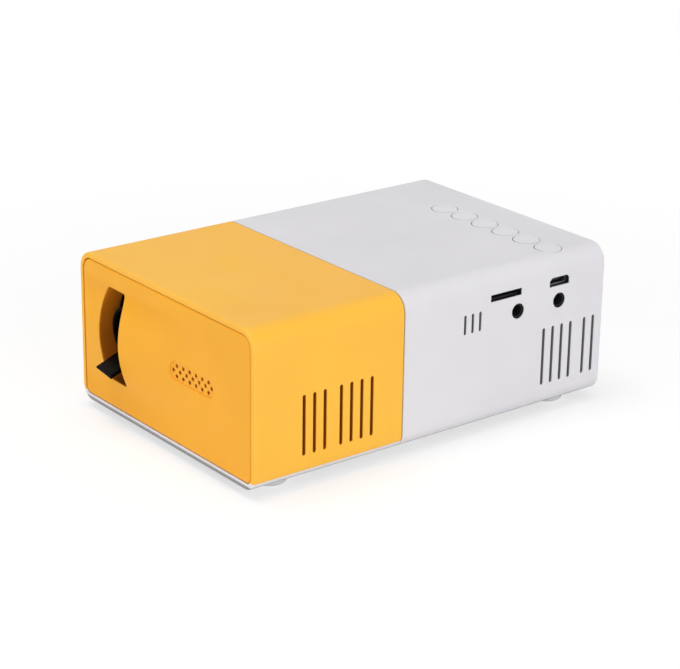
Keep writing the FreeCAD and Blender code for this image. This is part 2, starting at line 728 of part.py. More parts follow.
def make_bottom_tray():
    tray = casing_solid(0, 0, BODY_LENGTH).cut(above(LIP_HEIGHT))
    rib_outer = HALF_WIDTH - BOTTOM_RADIUS - SEAT_GAP
    rib_start = FRONT_POST_Y + 2 * POST_RADIUS
    rib_end = FAN_Y - FAN_SIZE / 2 - RIB_THICKNESS
    additions = []
    for side in (-1, 1):
        x_a = side * rib_outer
        x_b = side * (rib_outer - RIB_THICKNESS)
        additions.append(box(min(x_a, x_b), max(x_a, x_b), rib_start, rib_end, LIP_HEIGHT, RIB_TOP))
    boss_radius = POST_RADIUS + COVER_GAP
    for x, y in CASE_POSTS:
        additions.append(rod_z(boss_radius, LIP_HEIGHT, RIB_TOP, x, y))
    for x, y in ENGINE_SCREWS:
        additions.append(rod_z(ENGINE_POST_RADIUS, LIP_HEIGHT, ENGINE_LOW, x, y))
    tripod_boss = TRIPOD_INSERT_RADIUS + TRIPOD_BOSS_WALL
    additions.append(rod_z(tripod_boss, LIP_HEIGHT, TRIPOD_DEPTH + LIP_HEIGHT, 0, BODY_LENGTH / 2))
    tray = fuse(tray, additions)
    cuts = []
    hole = SCREW_RADIUS + SCREW_CLEARANCE
    pocket = SCREW_HEAD_RADIUS + HEAD_CLEARANCE
    for x, y in CASE_POSTS:
        cuts.append(rod_z(hole, -1, POST_FOOT_Z + 1, x, y))
        cuts.append(rod_z(pocket, -1, SCREW_HEAD_HEIGHT + HEAD_CLEARANCE, x, y))
    engine_seat = ENGINE_LOW + ENGINE_FLOOR - ENGINE_SCREW_LENGTH
    for x, y in ENGINE_SCREWS:
        cuts.append(rod_z(hole, -1, ENGINE_LOW + 1, x, y))
        cuts.append(rod_z(pocket, -1, engine_seat, x, y))
    for x, y in foot_places():
        cuts.append(rod_z(FOOT_RADIUS + SEAT_GAP, -1, FOOT_SEAT_DEPTH, x, y))
    cuts.append(rod_z(TRIPOD_INSERT_RADIUS, -1, TRIPOD_DEPTH, 0, BODY_LENGTH / 2))
    cuts.append(rod_z(TRIPOD_FLANGE_RADIUS, -1, TRIPOD_FLANGE_THICKNESS, 0, BODY_LENGTH / 2))
    tray = tray.cut(cuts)
    for y in (0, BODY_LENGTH):
        end = [e for e in tray.Edges if lies_at(e, y) and e.BoundBox.ZMin < LIP_HEIGHT - TINY]
        tray = tray.makeFillet(TRAY_EDGE, end)
    return tray


def foot_places():
    return [
        (side * FOOT_X, y)
        for y in (FOOT_END_DISTANCE, BODY_LENGTH - FOOT_END_DISTANCE)
        for side in (-1, 1)
    ]


def make_foot(x, y):
    foot = rod_z(FOOT_RADIUS, -FOOT_HEIGHT, FOOT_SEAT_DEPTH, x, y)
    lower = [e for e in foot.Edges if abs(e.CenterOfMass.z + FOOT_HEIGHT) < TINY]
    return foot.makeFillet(FOOT_EDGE, lower)


def make_tripod_insert():
    y = BODY_LENGTH / 2
    body = rod_z(TRIPOD_INSERT_RADIUS, 0, TRIPOD_DEPTH, 0, y)
    flange = rod_z(TRIPOD_FLANGE_RADIUS, 0, TRIPOD_FLANGE_THICKNESS, 0, y)
    return body.fuse(flange).removeSplitter().cut(rod_z(TRIPOD_BORE_RADIUS, -1, TRIPOD_DEPTH + 1, 0, y))


def cover_post(x, y):
    return rod_z(POST_RADIUS, POST_FOOT_Z, INNER_TOP + SEAT_GAP, x, y)


def cover_post_hole(x, y):
    hole_top = POST_FOOT_Z + CASE_SCREW_LENGTH
    return rod_z(SCREW_RADIUS + SCREW_CLEARANCE, POST_FOOT_Z - 1, hole_top, x, y)


def make_front_cover():
    shell = casing_solid(0, 0, FRONT_COVER_LENGTH)
    shell = shell.cut(casing_solid(WALL, -1, FRONT_COVER_LENGTH + 1))
    shell = shell.cut(casing_solid(PANEL_INSET, -1, PANEL_THICKNESS))
    shell = shell.common(above(LIP_HEIGHT))
    posts = CASE_POSTS[:2]
    shell = fuse(shell, [cover_post(x, y) for x, y in posts])
    cuts = [cover_post_hole(x, y) for x, y in posts]
    cuts += side_vents(vent_row(FRONT_VENT_START, FRONT_VENT_GROUPS), VENT_LOW, VENT_HIGH, VENT_WIDTH)
    shell = shell.cut(cuts).common(above(LIP_HEIGHT))
    shell = soften_outline(shell, 0, 0, FRONT_EDGE)
    return soften_outline(shell, FRONT_COVER_LENGTH, 0, SEAM_EDGE)


def make_rear_cover():
    shell = casing_solid(0, REAR_COVER_START, BODY_LENGTH)
    shell = shell.cut(casing_solid(WALL, REAR_COVER_START - 1, BODY_LENGTH + 1))
    shell = shell.cut(casing_solid(PANEL_INSET, BACK_Y, BODY_LENGTH + 1))
    tongue_start = REAR_COVER_START - TONGUE_LENGTH
    tongue_end = REAR_COVER_START + TONGUE_LENGTH
    tongue_outer = WALL + SEAT_GAP
    tongue = casing_solid(tongue_outer, tongue_start, tongue_end)
    tongue = tongue.cut(casing_solid(tongue_outer + TONGUE_WALL, tongue_start - 1, tongue_end + 1))
    # Behind the joint the tongue thickens the wall, so that the two are one piece.
    bridge = casing_solid(WALL - SEAT_GAP, REAR_COVER_START, tongue_end)
    bridge = bridge.cut(casing_solid(tongue_outer + TONGUE_WALL, REAR_COVER_START - 1, tongue_end + 1))
    tray_rib_inner = HALF_WIDTH - BOTTOM_RADIUS + SEAT_GAP
    clear_of_tray = box(-tray_rib_inner, tray_rib_inner, tongue_start - 1, tongue_end + 1,
                        0, POST_FOOT_Z)
    tongue = fuse(tongue, [bridge]).cut(clear_of_tray)
    posts = CASE_POSTS[2:]
    additions = [tongue]
    additions += [cover_post(x, y) for x, y in posts]
    additions += [rod_z(STANDOFF_RADIUS, BOARD_TOP, INNER_TOP + SEAT_GAP, x, y) for x, y in STANDOFFS]
    pad_end = INNER_SIDE + SEAT_GAP
    additions += [rod_x(FAN_PAD_RADIUS, FAN_OUTER_X, pad_end, y, z) for y, z in fan_pads()]
    shell = fuse(shell, additions)
    cuts = [cover_post_hole(x, y) for x, y in posts]
    grip_end = INNER_SIDE + FAN_SCREW_GRIP
    cuts += [rod_x(SCREW_RADIUS + SCREW_CLEARANCE, FAN_OUTER_X - 1, grip_end, y, z) for y, z in fan_pads()]
    standoff_hole_top = BOARD_UNDERSIDE + BOARD_SCREW_LENGTH
    for x, y in STANDOFFS:
        cuts.append(rod_z(SCREW_RADIUS + SCREW_CLEARANCE, BOARD_TOP - 1, standoff_hole_top, x, y))
    cuts += side_vents(vent_row(REAR_VENT_START, REAR_VENT_GROUPS), VENT_LOW, VENT_HIGH, VENT_WIDTH)
    small = [SMALL_VENT_START + i * SMALL_VENT_PITCH for i in range(SMALL_VENT_COUNT)]
    cuts += side_vents(small, SMALL_VENT_LOW, SMALL_VENT_HIGH, SMALL_VENT_WIDTH)
    x0 = INNER_SIDE - WALL
    x1 = HALF_WIDTH + 1
    cuts.append(box(x0, x1, CARD_Y - CARD_SLOT_WIDTH / 2, CARD_Y + CARD_SLOT_WIDTH / 2,
                    CARD_SLOT_Z - CARD_SLOT_HEIGHT / 2, CARD_SLOT_Z + CARD_SLOT_HEIGHT / 2))
    cuts.append(d_section(USB_MICRO_Y, USB_MICRO_Z, USB_MICRO_WIDTH + 2 * SOCKET_GAP,
                          USB_MICRO_HEIGHT + 2 * SOCKET_GAP, USB_MICRO_CHAMFER, x0, x1))
    for y in (HEADPHONE_JACK_Y, AV_JACK_Y):
        cuts.append(rod_x(JACK_HOLE_RADIUS, x0, x1, y, JACK_Z))
    for i in range(KEY_COUNT):
        cuts.append(rod_z(KEY_HOLE_RADIUS, INNER_TOP - WALL, BODY_HEIGHT + 1, key_x(i), KEY_Y))
    shell = shell.cut(cuts).common(above(LIP_HEIGHT))
    shell = soften_outline(shell, BODY_LENGTH, 0, FRONT_EDGE)
    shell = soften_outline(shell, REAR_COVER_START, 0, SEAM_EDGE)
    key_rims = [e for e in shell.Edges if abs(e.BoundBox.ZMin - BODY_HEIGHT) < TINY and is_circle(e)]
    return shell.makeFillet(KEY_RIM_EDGE, key_rims)


def panel_blank(y0, y1):
    blank = casing_solid(PANEL_INSET + PANEL_GAP, y0, y1)
    return blank.common(above(LIP_HEIGHT + PANEL_GAP))


def snap_tabs(y0, y1):
    """Tabs behind a panel that grip the covers' inner walls."""
    reach = INNER_SIDE - SEAT_GAP
    tabs = []
    for side in (-1, 1):
        x_a = side * reach
        x_b = side * (reach - RIB_THICKNESS)
        for share in SNAP_TAB_SHARES:
            z = BODY_HEIGHT * share
            half = RIB_HEIGHT / 2
            tabs.append(box(min(x_a, x_b), max(x_a, x_b), y0, y1, z - half, z + half))
    return tabs


def hood_section(x):
    """A section of the swollen band: an arch that sinks away to the right."""
    share = (x - WINDOW_LIP_X) / (HOOD_END_X - WINDOW_LIP_X)
    crown = HOOD_CROWN + (HOOD_END_CROWN - HOOD_CROWN) * share
    middle = (WINDOW_LOW + WINDOW_HIGH) / 2
    low = V(x, 0, WINDOW_LOW)
    high = V(x, 0, WINDOW_HIGH)
    root_low = V(x, HOOD_ROOT, WINDOW_LOW)
    root_high = V(x, HOOD_ROOT, WINDOW_HIGH)
    edges = [
        line(root_low, low),
        arc(low, V(x, -crown, middle), high),
        line(high, root_high),
        line(root_high, root_low),
    ]
    return Part.Wire(edges)


def grille_holes():
    holes = []
    middle_row = (len(GRILLE_ROWS) - 1) / 2
    for row, count in enumerate(GRILLE_ROWS):
        z = GRILLE_Z + (middle_row - row) * GRILLE_ROW_PITCH
        for i in range(count):
            x = GRILLE_X + (i - (count - 1) / 2) * GRILLE_HOLE_PITCH
            holes.append(rod_y(GRILLE_HOLE_RADIUS, -1, PANEL_THICKNESS + 1, x, z))
    return holes


def make_front_panel():
    panel = panel_blank(0, PANEL_THICKNESS)
    hood_start = WINDOW_LIP_X - 2
    hood = Part.makeLoft([hood_section(hood_start), hood_section(HOOD_END_X)], True, True)
    tunnel_end = PANEL_THICKNESS + TUNNEL_LENGTH
    tunnel = window_solid(TUNNEL_WALL, PANEL_THICKNESS / 2, tunnel_end)
    rib_low = GRILLE_Z - SPEAKER_HEIGHT / 2 - SEAT_GAP - RIB_THICKNESS
    rib_high = GRILLE_Z + SPEAKER_HEIGHT / 2 + SEAT_GAP
    half_rib = SPEAKER_RIB_LENGTH / 2
    additions = [hood, tunnel]
    for z in (rib_low, rib_high):
        additions.append(box(GRILLE_X - half_rib, GRILLE_X + half_rib, PANEL_THICKNESS / 2,
                             PANEL_THICKNESS + SPEAKER_DEPTH, z, z + RIB_THICKNESS))
    additions += snap_tabs(PANEL_THICKNESS / 2, PANEL_THICKNESS + TUNNEL_LENGTH)
    panel = fuse(panel, additions)
    recess = pill_y(GRILLE_X, GRILLE_Z, GRILLE_LENGTH, GRILLE_HEIGHT, -HOOD_CROWN, GRILLE_RECESS)
    panel = panel.cut([window_solid(0, -2 * HOOD_CROWN, tunnel_end + 1), recess] + grille_holes())
    return soften_outline(panel, 0, PANEL_INSET + PANEL_GAP, PANEL_EDGE)


def back_vent_places():
    middle = (BACK_VENT_COUNT - 1) / 2
    return [AXIS_X + (i - middle) * BACK_VENT_PITCH for i in range(BACK_VENT_COUNT)]


def make_back_panel():
    panel = panel_blank(BACK_Y, BODY_LENGTH)
    panel = fuse(panel, snap_tabs(BACK_Y - RIB_HEIGHT, BODY_LENGTH - PANEL_THICKNESS / 2)[:2])
    y0 = BACK_Y - 1
    y1 = BODY_LENGTH + 1
    cuts = [pill_upright(x, BACK_VENT_LOW, BACK_VENT_HIGH, BACK_VENT_WIDTH, y0, y1)
            for x in back_vent_places()]
    for x, width, height in ((HDMI_X, HDMI_WIDTH, HDMI_HEIGHT), (USB_A_X, USB_A_WIDTH, USB_A_HEIGHT)):
        half = width / 2 + SOCKET_GAP
        cuts.append(box(x - half, x + half, y0, y1,
                        BOARD_UNDERSIDE - height - SOCKET_GAP, BOARD_UNDERSIDE + SOCKET_GAP))
    cuts.append(rod_y(IR_WINDOW_RADIUS, y0, y1, IR_X, IR_Z))
    return soften_outline(panel.cut(cuts), BODY_LENGTH, PANEL_INSET + PANEL_GAP, PANEL_EDGE)


def make_ir_window():
    body = rod_y(IR_WINDOW_RADIUS - LENS_CLEARANCE, BACK_Y - IR_WINDOW_FLANGE, BODY_LENGTH, IR_X, IR_Z)
    flange = rod_y(IR_WINDOW_RADIUS + IR_WINDOW_FLANGE, BACK_Y - IR_WINDOW_FLANGE, BACK_Y, IR_X, IR_Z)
    return body.fuse(flange).removeSplitter()


def make_case_screws():
    seat_z = SCREW_HEAD_HEIGHT + HEAD_CLEARANCE
    return [screw(CASE_SCREW_LENGTH, V(x, y, seat_z), V(0, 0, 1)) for x, y in CASE_POSTS]


# ---- Keys -----------------------------------------------------------------------------------

def key_x(i):
    return KEY_START_X + i * KEY_PITCH


def make_key(i):
    x = key_x(i)
    flange_top = INNER_TOP - SEAT_GAP
    flange_low = flange_top - KEY_FLANGE_THICKNESS
    cap = rod_z(KEY_HOLE_RADIUS - KEY_GAP, flange_low, BODY_HEIGHT + 1, x, KEY_Y)
    cap = cap.common(casing_solid(0, KEY_Y - 2 * KEY_PITCH, KEY_Y + 2 * KEY_PITCH))
    flange = rod_z(KEY_FLANGE_RADIUS, flange_low, flange_top, x, KEY_Y)
    flange = flange.common(casing_solid(WALL + SEAT_GAP, KEY_Y - 2 * KEY_PITCH, KEY_Y + 2 * KEY_PITCH))
    stem_low = BOARD_TOP + SWITCH_HEIGHT + KEY_TRAVEL + KEY_SPARE
    stem = rod_z(KEY_STEM_RADIUS, stem_low, flange_low + KEY_FLANGE_THICKNESS / 2, x, KEY_Y)
    key = fuse(cap, [flange, stem])
    rim = [e for e in key.Edges if e.BoundBox.ZMin > INNER_TOP + TINY]
    return key.makeFillet(KEY_EDGE, rim)


def make_key_switches():
    switches = []
    half = SWITCH_SIZE / 2
    for i in range(KEY_COUNT):
        x = key_x(i)
        body = box(x - half, x + half, KEY_Y - half, KEY_Y + half, BOARD_TOP, BOARD_TOP + SWITCH_BODY_HEIGHT)
        plunger = rod_z(SWITCH_PLUNGER_RADIUS, BOARD_TOP + SWITCH_BODY_HEIGHT / 2,
                        BOARD_TOP + SWITCH_HEIGHT, x, KEY_Y)
        switches.append(body.fuse(plunger))
    return switches


# ---- Lens and focus -------------------------------------------------------------------------

def make_focus_ring():
    ring = rod_y(RING_RADIUS, RING_FRONT_Y, RING_BACK_Y, AXIS_X, AXIS_Z)
    ring = ring.cut(rod_y(RING_INNER_RADIUS, RING_FRONT_Y - 1, RING_BACK_Y + 1, AXIS_X, AXIS_Z))
    return ring.cut(focus_slot())


def focus_slot():
    """The sloping slot that drives the lens tube's pin along as the ring turns."""
    width = 2 * (FOCUS_PIN_RADIUS + FOCUS_SLOT_CLEARANCE)
    whole_turn = FOCUS_TURN_LEFT_DEG + FOCUS_TURN_RIGHT_DEG
    wall_middle = (RING_RADIUS + RING_INNER_RADIUS) / 2
    around = math.radians(whole_turn) * wall_middle
    run = math.hypot(around, FOCUS_TRAVEL)
    start = -run * FOCUS_TURN_LEFT_DEG / whole_turn - width / 2
    slot = Part.makeBox(run + width, width, 2 * RING_RADIUS, V(start, -width / 2, 0))
    slot.rotate(V(0, 0, 0), V(0, 0, 1), math.degrees(math.atan2(FOCUS_TRAVEL, around)))
    slot.translate(V(AXIS_X, FOCUS_PIN_Y, AXIS_Z))
    return slot


def make_focus_lever():
    """A flat tab on the ring's front rim, sloping down and out of the window."""
    x0 = AXIS_X - LEVER_WIDTH / 2
    tip = V(x0, -LEVER_REACH, LEVER_TIP_Z)
    root = V(x0, RING_FRONT_Y, LEVER_ROOT_Z)
    drop = V(0, 0, -LEVER_THICKNESS)
    return polygon_prism([tip, root, root + drop, tip + drop], V(LEVER_WIDTH, 0, 0))


def make_lens_tube():
    tube = rod_y(TUBE_RADIUS, TUBE_FRONT_Y, TUBE_BACK_Y, AXIS_X, AXIS_Z)
    tube = tube.cut(rod_y(TUBE_BORE_RADIUS, TUBE_FRONT_Y - 1, TUBE_BACK_Y + 1, AXIS_X, AXIS_Z))
    pin_low = AXIS_Z + TUBE_BORE_RADIUS + (TUBE_RADIUS - TUBE_BORE_RADIUS) / 2
    pin_high = AXIS_Z + RING_RADIUS - RUNNING_CLEARANCE
    return tube.fuse(rod_z(FOCUS_PIN_RADIUS, pin_low, pin_high, AXIS_X, FOCUS_PIN_Y))


def make_lens_mount():
    bore = RING_RADIUS + RUNNING_CLEARANCE
    outer = bore + MOUNT_WALL
    flange_front = ENGINE_START_Y - MOUNT_FLANGE_THICKNESS
    half = MOUNT_FLANGE / 2
    barrel = rod_y(outer, MOUNT_FRONT_Y, ENGINE_START_Y, AXIS_X, AXIS_Z)
    flange = box(AXIS_X - half, AXIS_X + half, flange_front, ENGINE_START_Y, AXIS_Z - half, AXIS_Z + half)
    mount = barrel.fuse(flange).removeSplitter()
    cuts = [
        rod_y(bore, MOUNT_FRONT_Y - 1, RING_BACK_Y + SEAT_GAP, AXIS_X, AXIS_Z),
        rod_y(TUBE_RADIUS + RUNNING_CLEARANCE, RING_BACK_Y, ENGINE_START_Y + 1, AXIS_X, AXIS_Z),
    ]
    for x, z in mount_screw_places():
        cuts.append(rod_y(SCREW_RADIUS + SCREW_CLEARANCE, flange_front - 1, ENGINE_START_Y + 1, x, z))
    post_x, post_y = CASE_POSTS[0]
    cuts.append(rod_z(POST_RADIUS + COVER_GAP, 0, BODY_HEIGHT, post_x, post_y))
    return mount.cut(cuts)


def mount_screw_places():
    return [
        (AXIS_X + side * MOUNT_SCREW_OFFSET, AXIS_Z + level * MOUNT_SCREW_OFFSET)
        for side in (-1, 1)
        for level in (-1, 1)
    ]


def make_mount_screws():
    seat = ENGINE_START_Y - MOUNT_FLANGE_THICKNESS
    length = MOUNT_FLANGE_THICKNESS + ENGINE_WALL
    return [screw(length, V(x, seat, z), V(0, 1, 0)) for x, z in mount_screw_places()]


def tube_ring(y0, y1, width):
    """A plain ring inside the lens tube."""
    ring = rod_y(LENS_RADIUS, y0, y1, AXIS_X, AXIS_Z)
    return ring.cut(rod_y(LENS_RADIUS - width, y0 - 1, y1 + 1, AXIS_X, AXIS_Z))


def save_lenses():
    """The glass in the lens tube, from the front, with a ring before it and a spacer in it."""
    ring_end = TUBE_FRONT_Y + RETAINER_LENGTH
    save("lens_retaining_ring", tube_ring(TUBE_FRONT_Y, ring_end, RETAINER_WIDTH))
    front_start = ring_end - RETAINER_NEST
    save("front_lens", lens(LENS_RADIUS, front_start, *FRONT_LENS))
    middle_start = front_start + FRONT_LENS[0] + LENS_AIR_GAP
    save("middle_lens", lens(LENS_RADIUS, middle_start, *MIDDLE_LENS))
    rear_start = TUBE_BACK_Y - REAR_LENS_SETBACK - REAR_LENS[0]
    # The spacer seats on the middle lens's raised rim and on the rear lens's rounded face.
    spacer_start = middle_start + MIDDLE_LENS[0] - MIDDLE_LENS[2] + SEAT_GAP
    rear_seat = face_depth(LENS_RADIUS, REAR_LENS[1], LENS_RADIUS - SPACER_WIDTH)
    save("lens_spacer", tube_ring(spacer_start, rear_start + rear_seat - SEAT_GAP, SPACER_WIDTH))
    save("rear_lens", lens(LENS_RADIUS, rear_start, *REAR_LENS))


# ---- Light engine ---------------------------------------------------------------------------

def glass_span():
    """Half width and the lower and upper edges of the glass that stands in the box's slots."""
    half = ENGINE_WIDTH / 2 - ENGINE_WALL + SLOT_DEPTH / 2
    low = ENGINE_LOW + ENGINE_FLOOR - SLOT_DEPTH / 2
    high = ENGINE_HIGH - GLASS_MARGIN
    return half, low, high


def make_light_box():
    outer = box(ENGINE_LEFT, ENGINE_RIGHT, ENGINE_START_Y, ENGINE_BACK_Y, ENGINE_LOW, ENGINE_HIGH)
    inner = box(ENGINE_LEFT + ENGINE_WALL, ENGINE_RIGHT - ENGINE_WALL, ENGINE_START_Y + ENGINE_WALL,
                ENGINE_BACK_Y - ENGINE_WALL, ENGINE_LOW + ENGINE_FLOOR, ENGINE_HIGH + 1)
    cuts = [inner]
    cuts.append(rod_y(ENGINE_BEAM_RADIUS, ENGINE_START_Y - 1, ENGINE_BACK_Y + 1, AXIS_X, AXIS_Z))
    half, low, high = glass_span()
    for distance, thickness in GLASS_PIECES.values():
        y = ENGINE_START_Y + distance
        cuts.append(box(AXIS_X - half - GLASS_MARGIN, AXIS_X + half + GLASS_MARGIN, y - GLASS_MARGIN,
                        y + thickness + GLASS_MARGIN, low - GLASS_MARGIN, ENGINE_HIGH + 1))
    hole = SCREW_RADIUS + SCREW_CLEARANCE
    for x, z in mount_screw_places():
        cuts.append(rod_y(hole, ENGINE_START_Y - 1, ENGINE_START_Y + 2 * ENGINE_WALL, x, z))
    for x, y in ENGINE_SCREWS:
        cuts.append(rod_z(hole, ENGINE_LOW - 1, ENGINE_LOW + ENGINE_FLOOR + SEAT_GAP, x, y))
    return outer.cut(cuts)


def make_light_box_cover():
    top = ENGINE_HIGH + ENGINE_WALL
    cover = box(ENGINE_LEFT, ENGINE_RIGHT, ENGINE_START_Y, ENGINE_BACK_Y, ENGINE_HIGH, top)
    x0, x1 = ribbon_span()
    y0 = ribbon_y()
    y1 = y0 + RIBBON_THICKNESS
    return cover.cut(box(x0 - RIBBON_GAP, x1 + RIBBON_GAP, y0 - RIBBON_GAP, y1 + RIBBON_GAP,
                         ENGINE_HIGH - 1, top + 1))


def make_glass(distance, thickness):
    half, low, high = glass_span()
    y = ENGINE_START_Y + distance
    return box(AXIS_X - half, AXIS_X + half, y, y + thickness, low, high)


def make_condenser():
    radius = ENGINE_WIDTH / 2 - ENGINE_WALL - GLASS_MARGIN
    radius = min(radius, ENGINE_HEIGHT / 2 - ENGINE_FLOOR - GLASS_MARGIN)
    return lens(radius, CONDENSER_Y, CONDENSER_THICKNESS, CONDENSER_FRONT_BULGE, CONDENSER_BACK_BULGE)


def make_led_board():
    half = SINK_WIDTH / 2 - LED_BOARD_MARGIN
    half_height = SINK_HEIGHT / 2 - LED_BOARD_MARGIN
    return box(AXIS_X - half, AXIS_X + half, ENGINE_BACK_Y, SINK_FRONT_Y, AXIS_Z - half_height,
               AXIS_Z + half_height)


def make_led_chip():
    half = LED_CHIP_SIZE / 2
    base = box(AXIS_X - half, AXIS_X + half, ENGINE_BACK_Y - LED_CHIP_THICKNESS, ENGINE_BACK_Y,
               AXIS_Z - half, AXIS_Z + half)
    dome = Part.makeSphere(LED_DOME_RADIUS, V(AXIS_X, ENGINE_BACK_Y - LED_CHIP_THICKNESS / 2, AXIS_Z))
    keep = box(AXIS_X - half, AXIS_X + half, ENGINE_BACK_Y - LED_CHIP_SIZE, ENGINE_BACK_Y,
               AXIS_Z - half, AXIS_Z + half)
    return fuse(base, [dome.common(keep)])


def make_heat_sink():
    left = AXIS_X - SINK_WIDTH / 2
    low = AXIS_Z - SINK_HEIGHT / 2
    high = AXIS_Z + SINK_HEIGHT / 2
    base_back = SINK_FRONT_Y + SINK_BASE
    base = box(left, left + SINK_WIDTH, SINK_FRONT_Y, base_back, low, high)
    pitch = (SINK_WIDTH - SINK_FIN_THICKNESS) / (SINK_FINS - 1)
    fins = []
    for i in range(SINK_FINS):
        x = left + i * pitch
        fins.append(box(x, x + SINK_FIN_THICKNESS, SINK_FRONT_Y, base_back + SINK_FIN_LENGTH, low, high))
    return fuse(base, fins)


def make_engine_screws():
    seat = ENGINE_LOW + ENGINE_FLOOR - ENGINE_SCREW_LENGTH
    return [screw(ENGINE_SCREW_LENGTH - SEAT_GAP, V(x, y, seat), V(0, 0, 1)) for x, y in ENGINE_SCREWS]


# ---- Main board and sockets -------------------------------------------------------------------

def make_main_board():
    main = box(BOARD_LEFT, BOARD_RIGHT, BOARD_FRONT_Y, BOARD_BACK_Y, BOARD_UNDERSIDE, BOARD_TOP)
    wing = box(BOARD_WING_LEFT, BOARD_LEFT, BOARD_WING_FRONT_Y, BOARD_BACK_Y, BOARD_UNDERSIDE, BOARD_TOP)
    board = fuse(main, [wing])
    cuts = [rod_z(SCREW_RADIUS + SCREW_CLEARANCE, BOARD_UNDERSIDE - 1, BOARD_TOP + 1, x, y)
            for x, y in STANDOFFS]
    return board.cut(cuts)


def make_board_screws():
    return [screw(BOARD_SCREW_LENGTH - SEAT_GAP, V(x, y, BOARD_UNDERSIDE), V(0, 0, 1)) for x, y in STANDOFFS]


def make_card_socket():
    slot_half = CARD_SLOT_WIDTH / 2
    half = slot_half + CARD_SOCKET_WALL
    x0 = SOCKET_MOUTH_X - CARD_SOCKET_DEPTH
    x1 = INNER_SIDE - SEAT_GAP
    high = CARD_SLOT_Z + CARD_SLOT_HEIGHT / 2 + CARD_SOCKET_ROOF
    body = box(x0, x1, CARD_Y - half, CARD_Y + half, BOARD_TOP, high)
    slot = box(x0 + CARD_SOCKET_WALL, x1 + 1, CARD_Y - slot_half, CARD_Y + slot_half,
               CARD_SLOT_Z - CARD_SLOT_HEIGHT / 2 + CARD_SOCKET_STEP, CARD_SLOT_Z + CARD_SLOT_HEIGHT / 2)
    return body.cut(slot)


def make_micro_usb_socket():
    x1 = SOCKET_MOUTH_X
    x0 = x1 - USB_MICRO_DEPTH
    shell = d_section(USB_MICRO_Y, USB_MICRO_Z, USB_MICRO_WIDTH, USB_MICRO_HEIGHT, USB_MICRO_CHAMFER, x0, x1)
    cavity = d_section(USB_MICRO_Y, USB_MICRO_Z, USB_MICRO_WIDTH - 2 * USB_MICRO_SHELL,
                       USB_MICRO_HEIGHT - 2 * USB_MICRO_SHELL, USB_MICRO_CHAMFER - USB_MICRO_SHELL / 2,
                       x0 + USB_MICRO_BACK_WALL, x1 + 1)
    tongue_half = USB_MICRO_TONGUE_WIDTH / 2
    tongue = box(x0 + USB_MICRO_SHELL, x1 - USB_MICRO_TONGUE, USB_MICRO_Y - tongue_half,
                 USB_MICRO_Y + tongue_half, USB_MICRO_Z - USB_MICRO_TONGUE / 2,
                 USB_MICRO_Z + USB_MICRO_TONGUE / 2)
    seat_half = USB_MICRO_WIDTH / 2 - USB_MICRO_CHAMFER
    seat = box(x0, BOARD_RIGHT, USB_MICRO_Y - seat_half, USB_MICRO_Y + seat_half, BOARD_TOP,
               USB_MICRO_Z - USB_MICRO_HEIGHT / 2 + USB_MICRO_SHELL)
    return fuse(shell.cut(cavity), [tongue, seat])


def make_jack(y):
    half = JACK_BODY_WIDTH / 2
    x1 = INNER_SIDE - SEAT_GAP
    x0 = x1 - JACK_BODY_DEPTH
    body = box(x0, x1, y - half, y + half, JACK_LOW, BOARD_UNDERSIDE)
    nose = rod_x(JACK_NOSE_RADIUS, x1 - 1, HALF_WIDTH - JACK_NOSE_SETBACK, y, JACK_Z)
    bore = rod_x(JACK_BORE_RADIUS, x0 + JACK_BACK_WALL, HALF_WIDTH + 1, y, JACK_Z)
    return fuse(body, [nose]).cut(bore)


def make_back_socket(x, width, height, depth, tongue_sizes):
    """A metal-shelled socket under the board's back edge, with its contact tongue."""
    half = width / 2
    y1 = BODY_LENGTH - BACK_SOCKET_SETBACK
    y0 = y1 - depth
    low = BOARD_UNDERSIDE - height
    shell = box(x - half, x + half, y0, y1, low, BOARD_UNDERSIDE)
    cavity = box(x - half + BACK_SOCKET_SHELL, x + half - BACK_SOCKET_SHELL, y0 + BACK_SOCKET_BACK_WALL,
                 y1 + 1, low + BACK_SOCKET_SHELL, BOARD_UNDERSIDE - BACK_SOCKET_SHELL)
    tongue_width, tongue_rise, tongue_thickness = tongue_sizes
    tongue_low = low + tongue_rise
    tongue = box(x - tongue_width / 2, x + tongue_width / 2, y0 + BACK_SOCKET_BACK_WALL / 2,
                 y1 - BACK_SOCKET_TONGUE_SETBACK, tongue_low, tongue_low + tongue_thickness)
    return fuse(shell.cut(cavity), [tongue])


def make_ir_receiver():
    half = IR_RECEIVER_WIDTH / 2
    y1 = BACK_Y - IR_RECEIVER_GAP
    y0 = y1 - IR_RECEIVER_THICKNESS
    body = box(IR_X - half, IR_X + half, y0, y1, IR_Z - IR_RECEIVER_DROP, BOARD_UNDERSIDE)
    dome = Part.makeSphere(IR_DOME_RADIUS, V(IR_X, y1, IR_Z))
    dome_end = BACK_Y - IR_WINDOW_FLANGE - 2 * SEAT_GAP
    keep = box(IR_X - half, IR_X + half, y0, dome_end, IR_Z - half, IR_Z + half)
    return fuse(body, [dome.common(keep)])


def board_block(x, y, half_x, half_y, thickness, side):
    """A chip or plug on the board's top (side 1) or underside (side -1)."""
    low = BOARD_TOP if side > 0 else BOARD_UNDERSIDE - thickness
    return box(x - half_x, x + half_x, y - half_y, y + half_y, low, low + thickness)


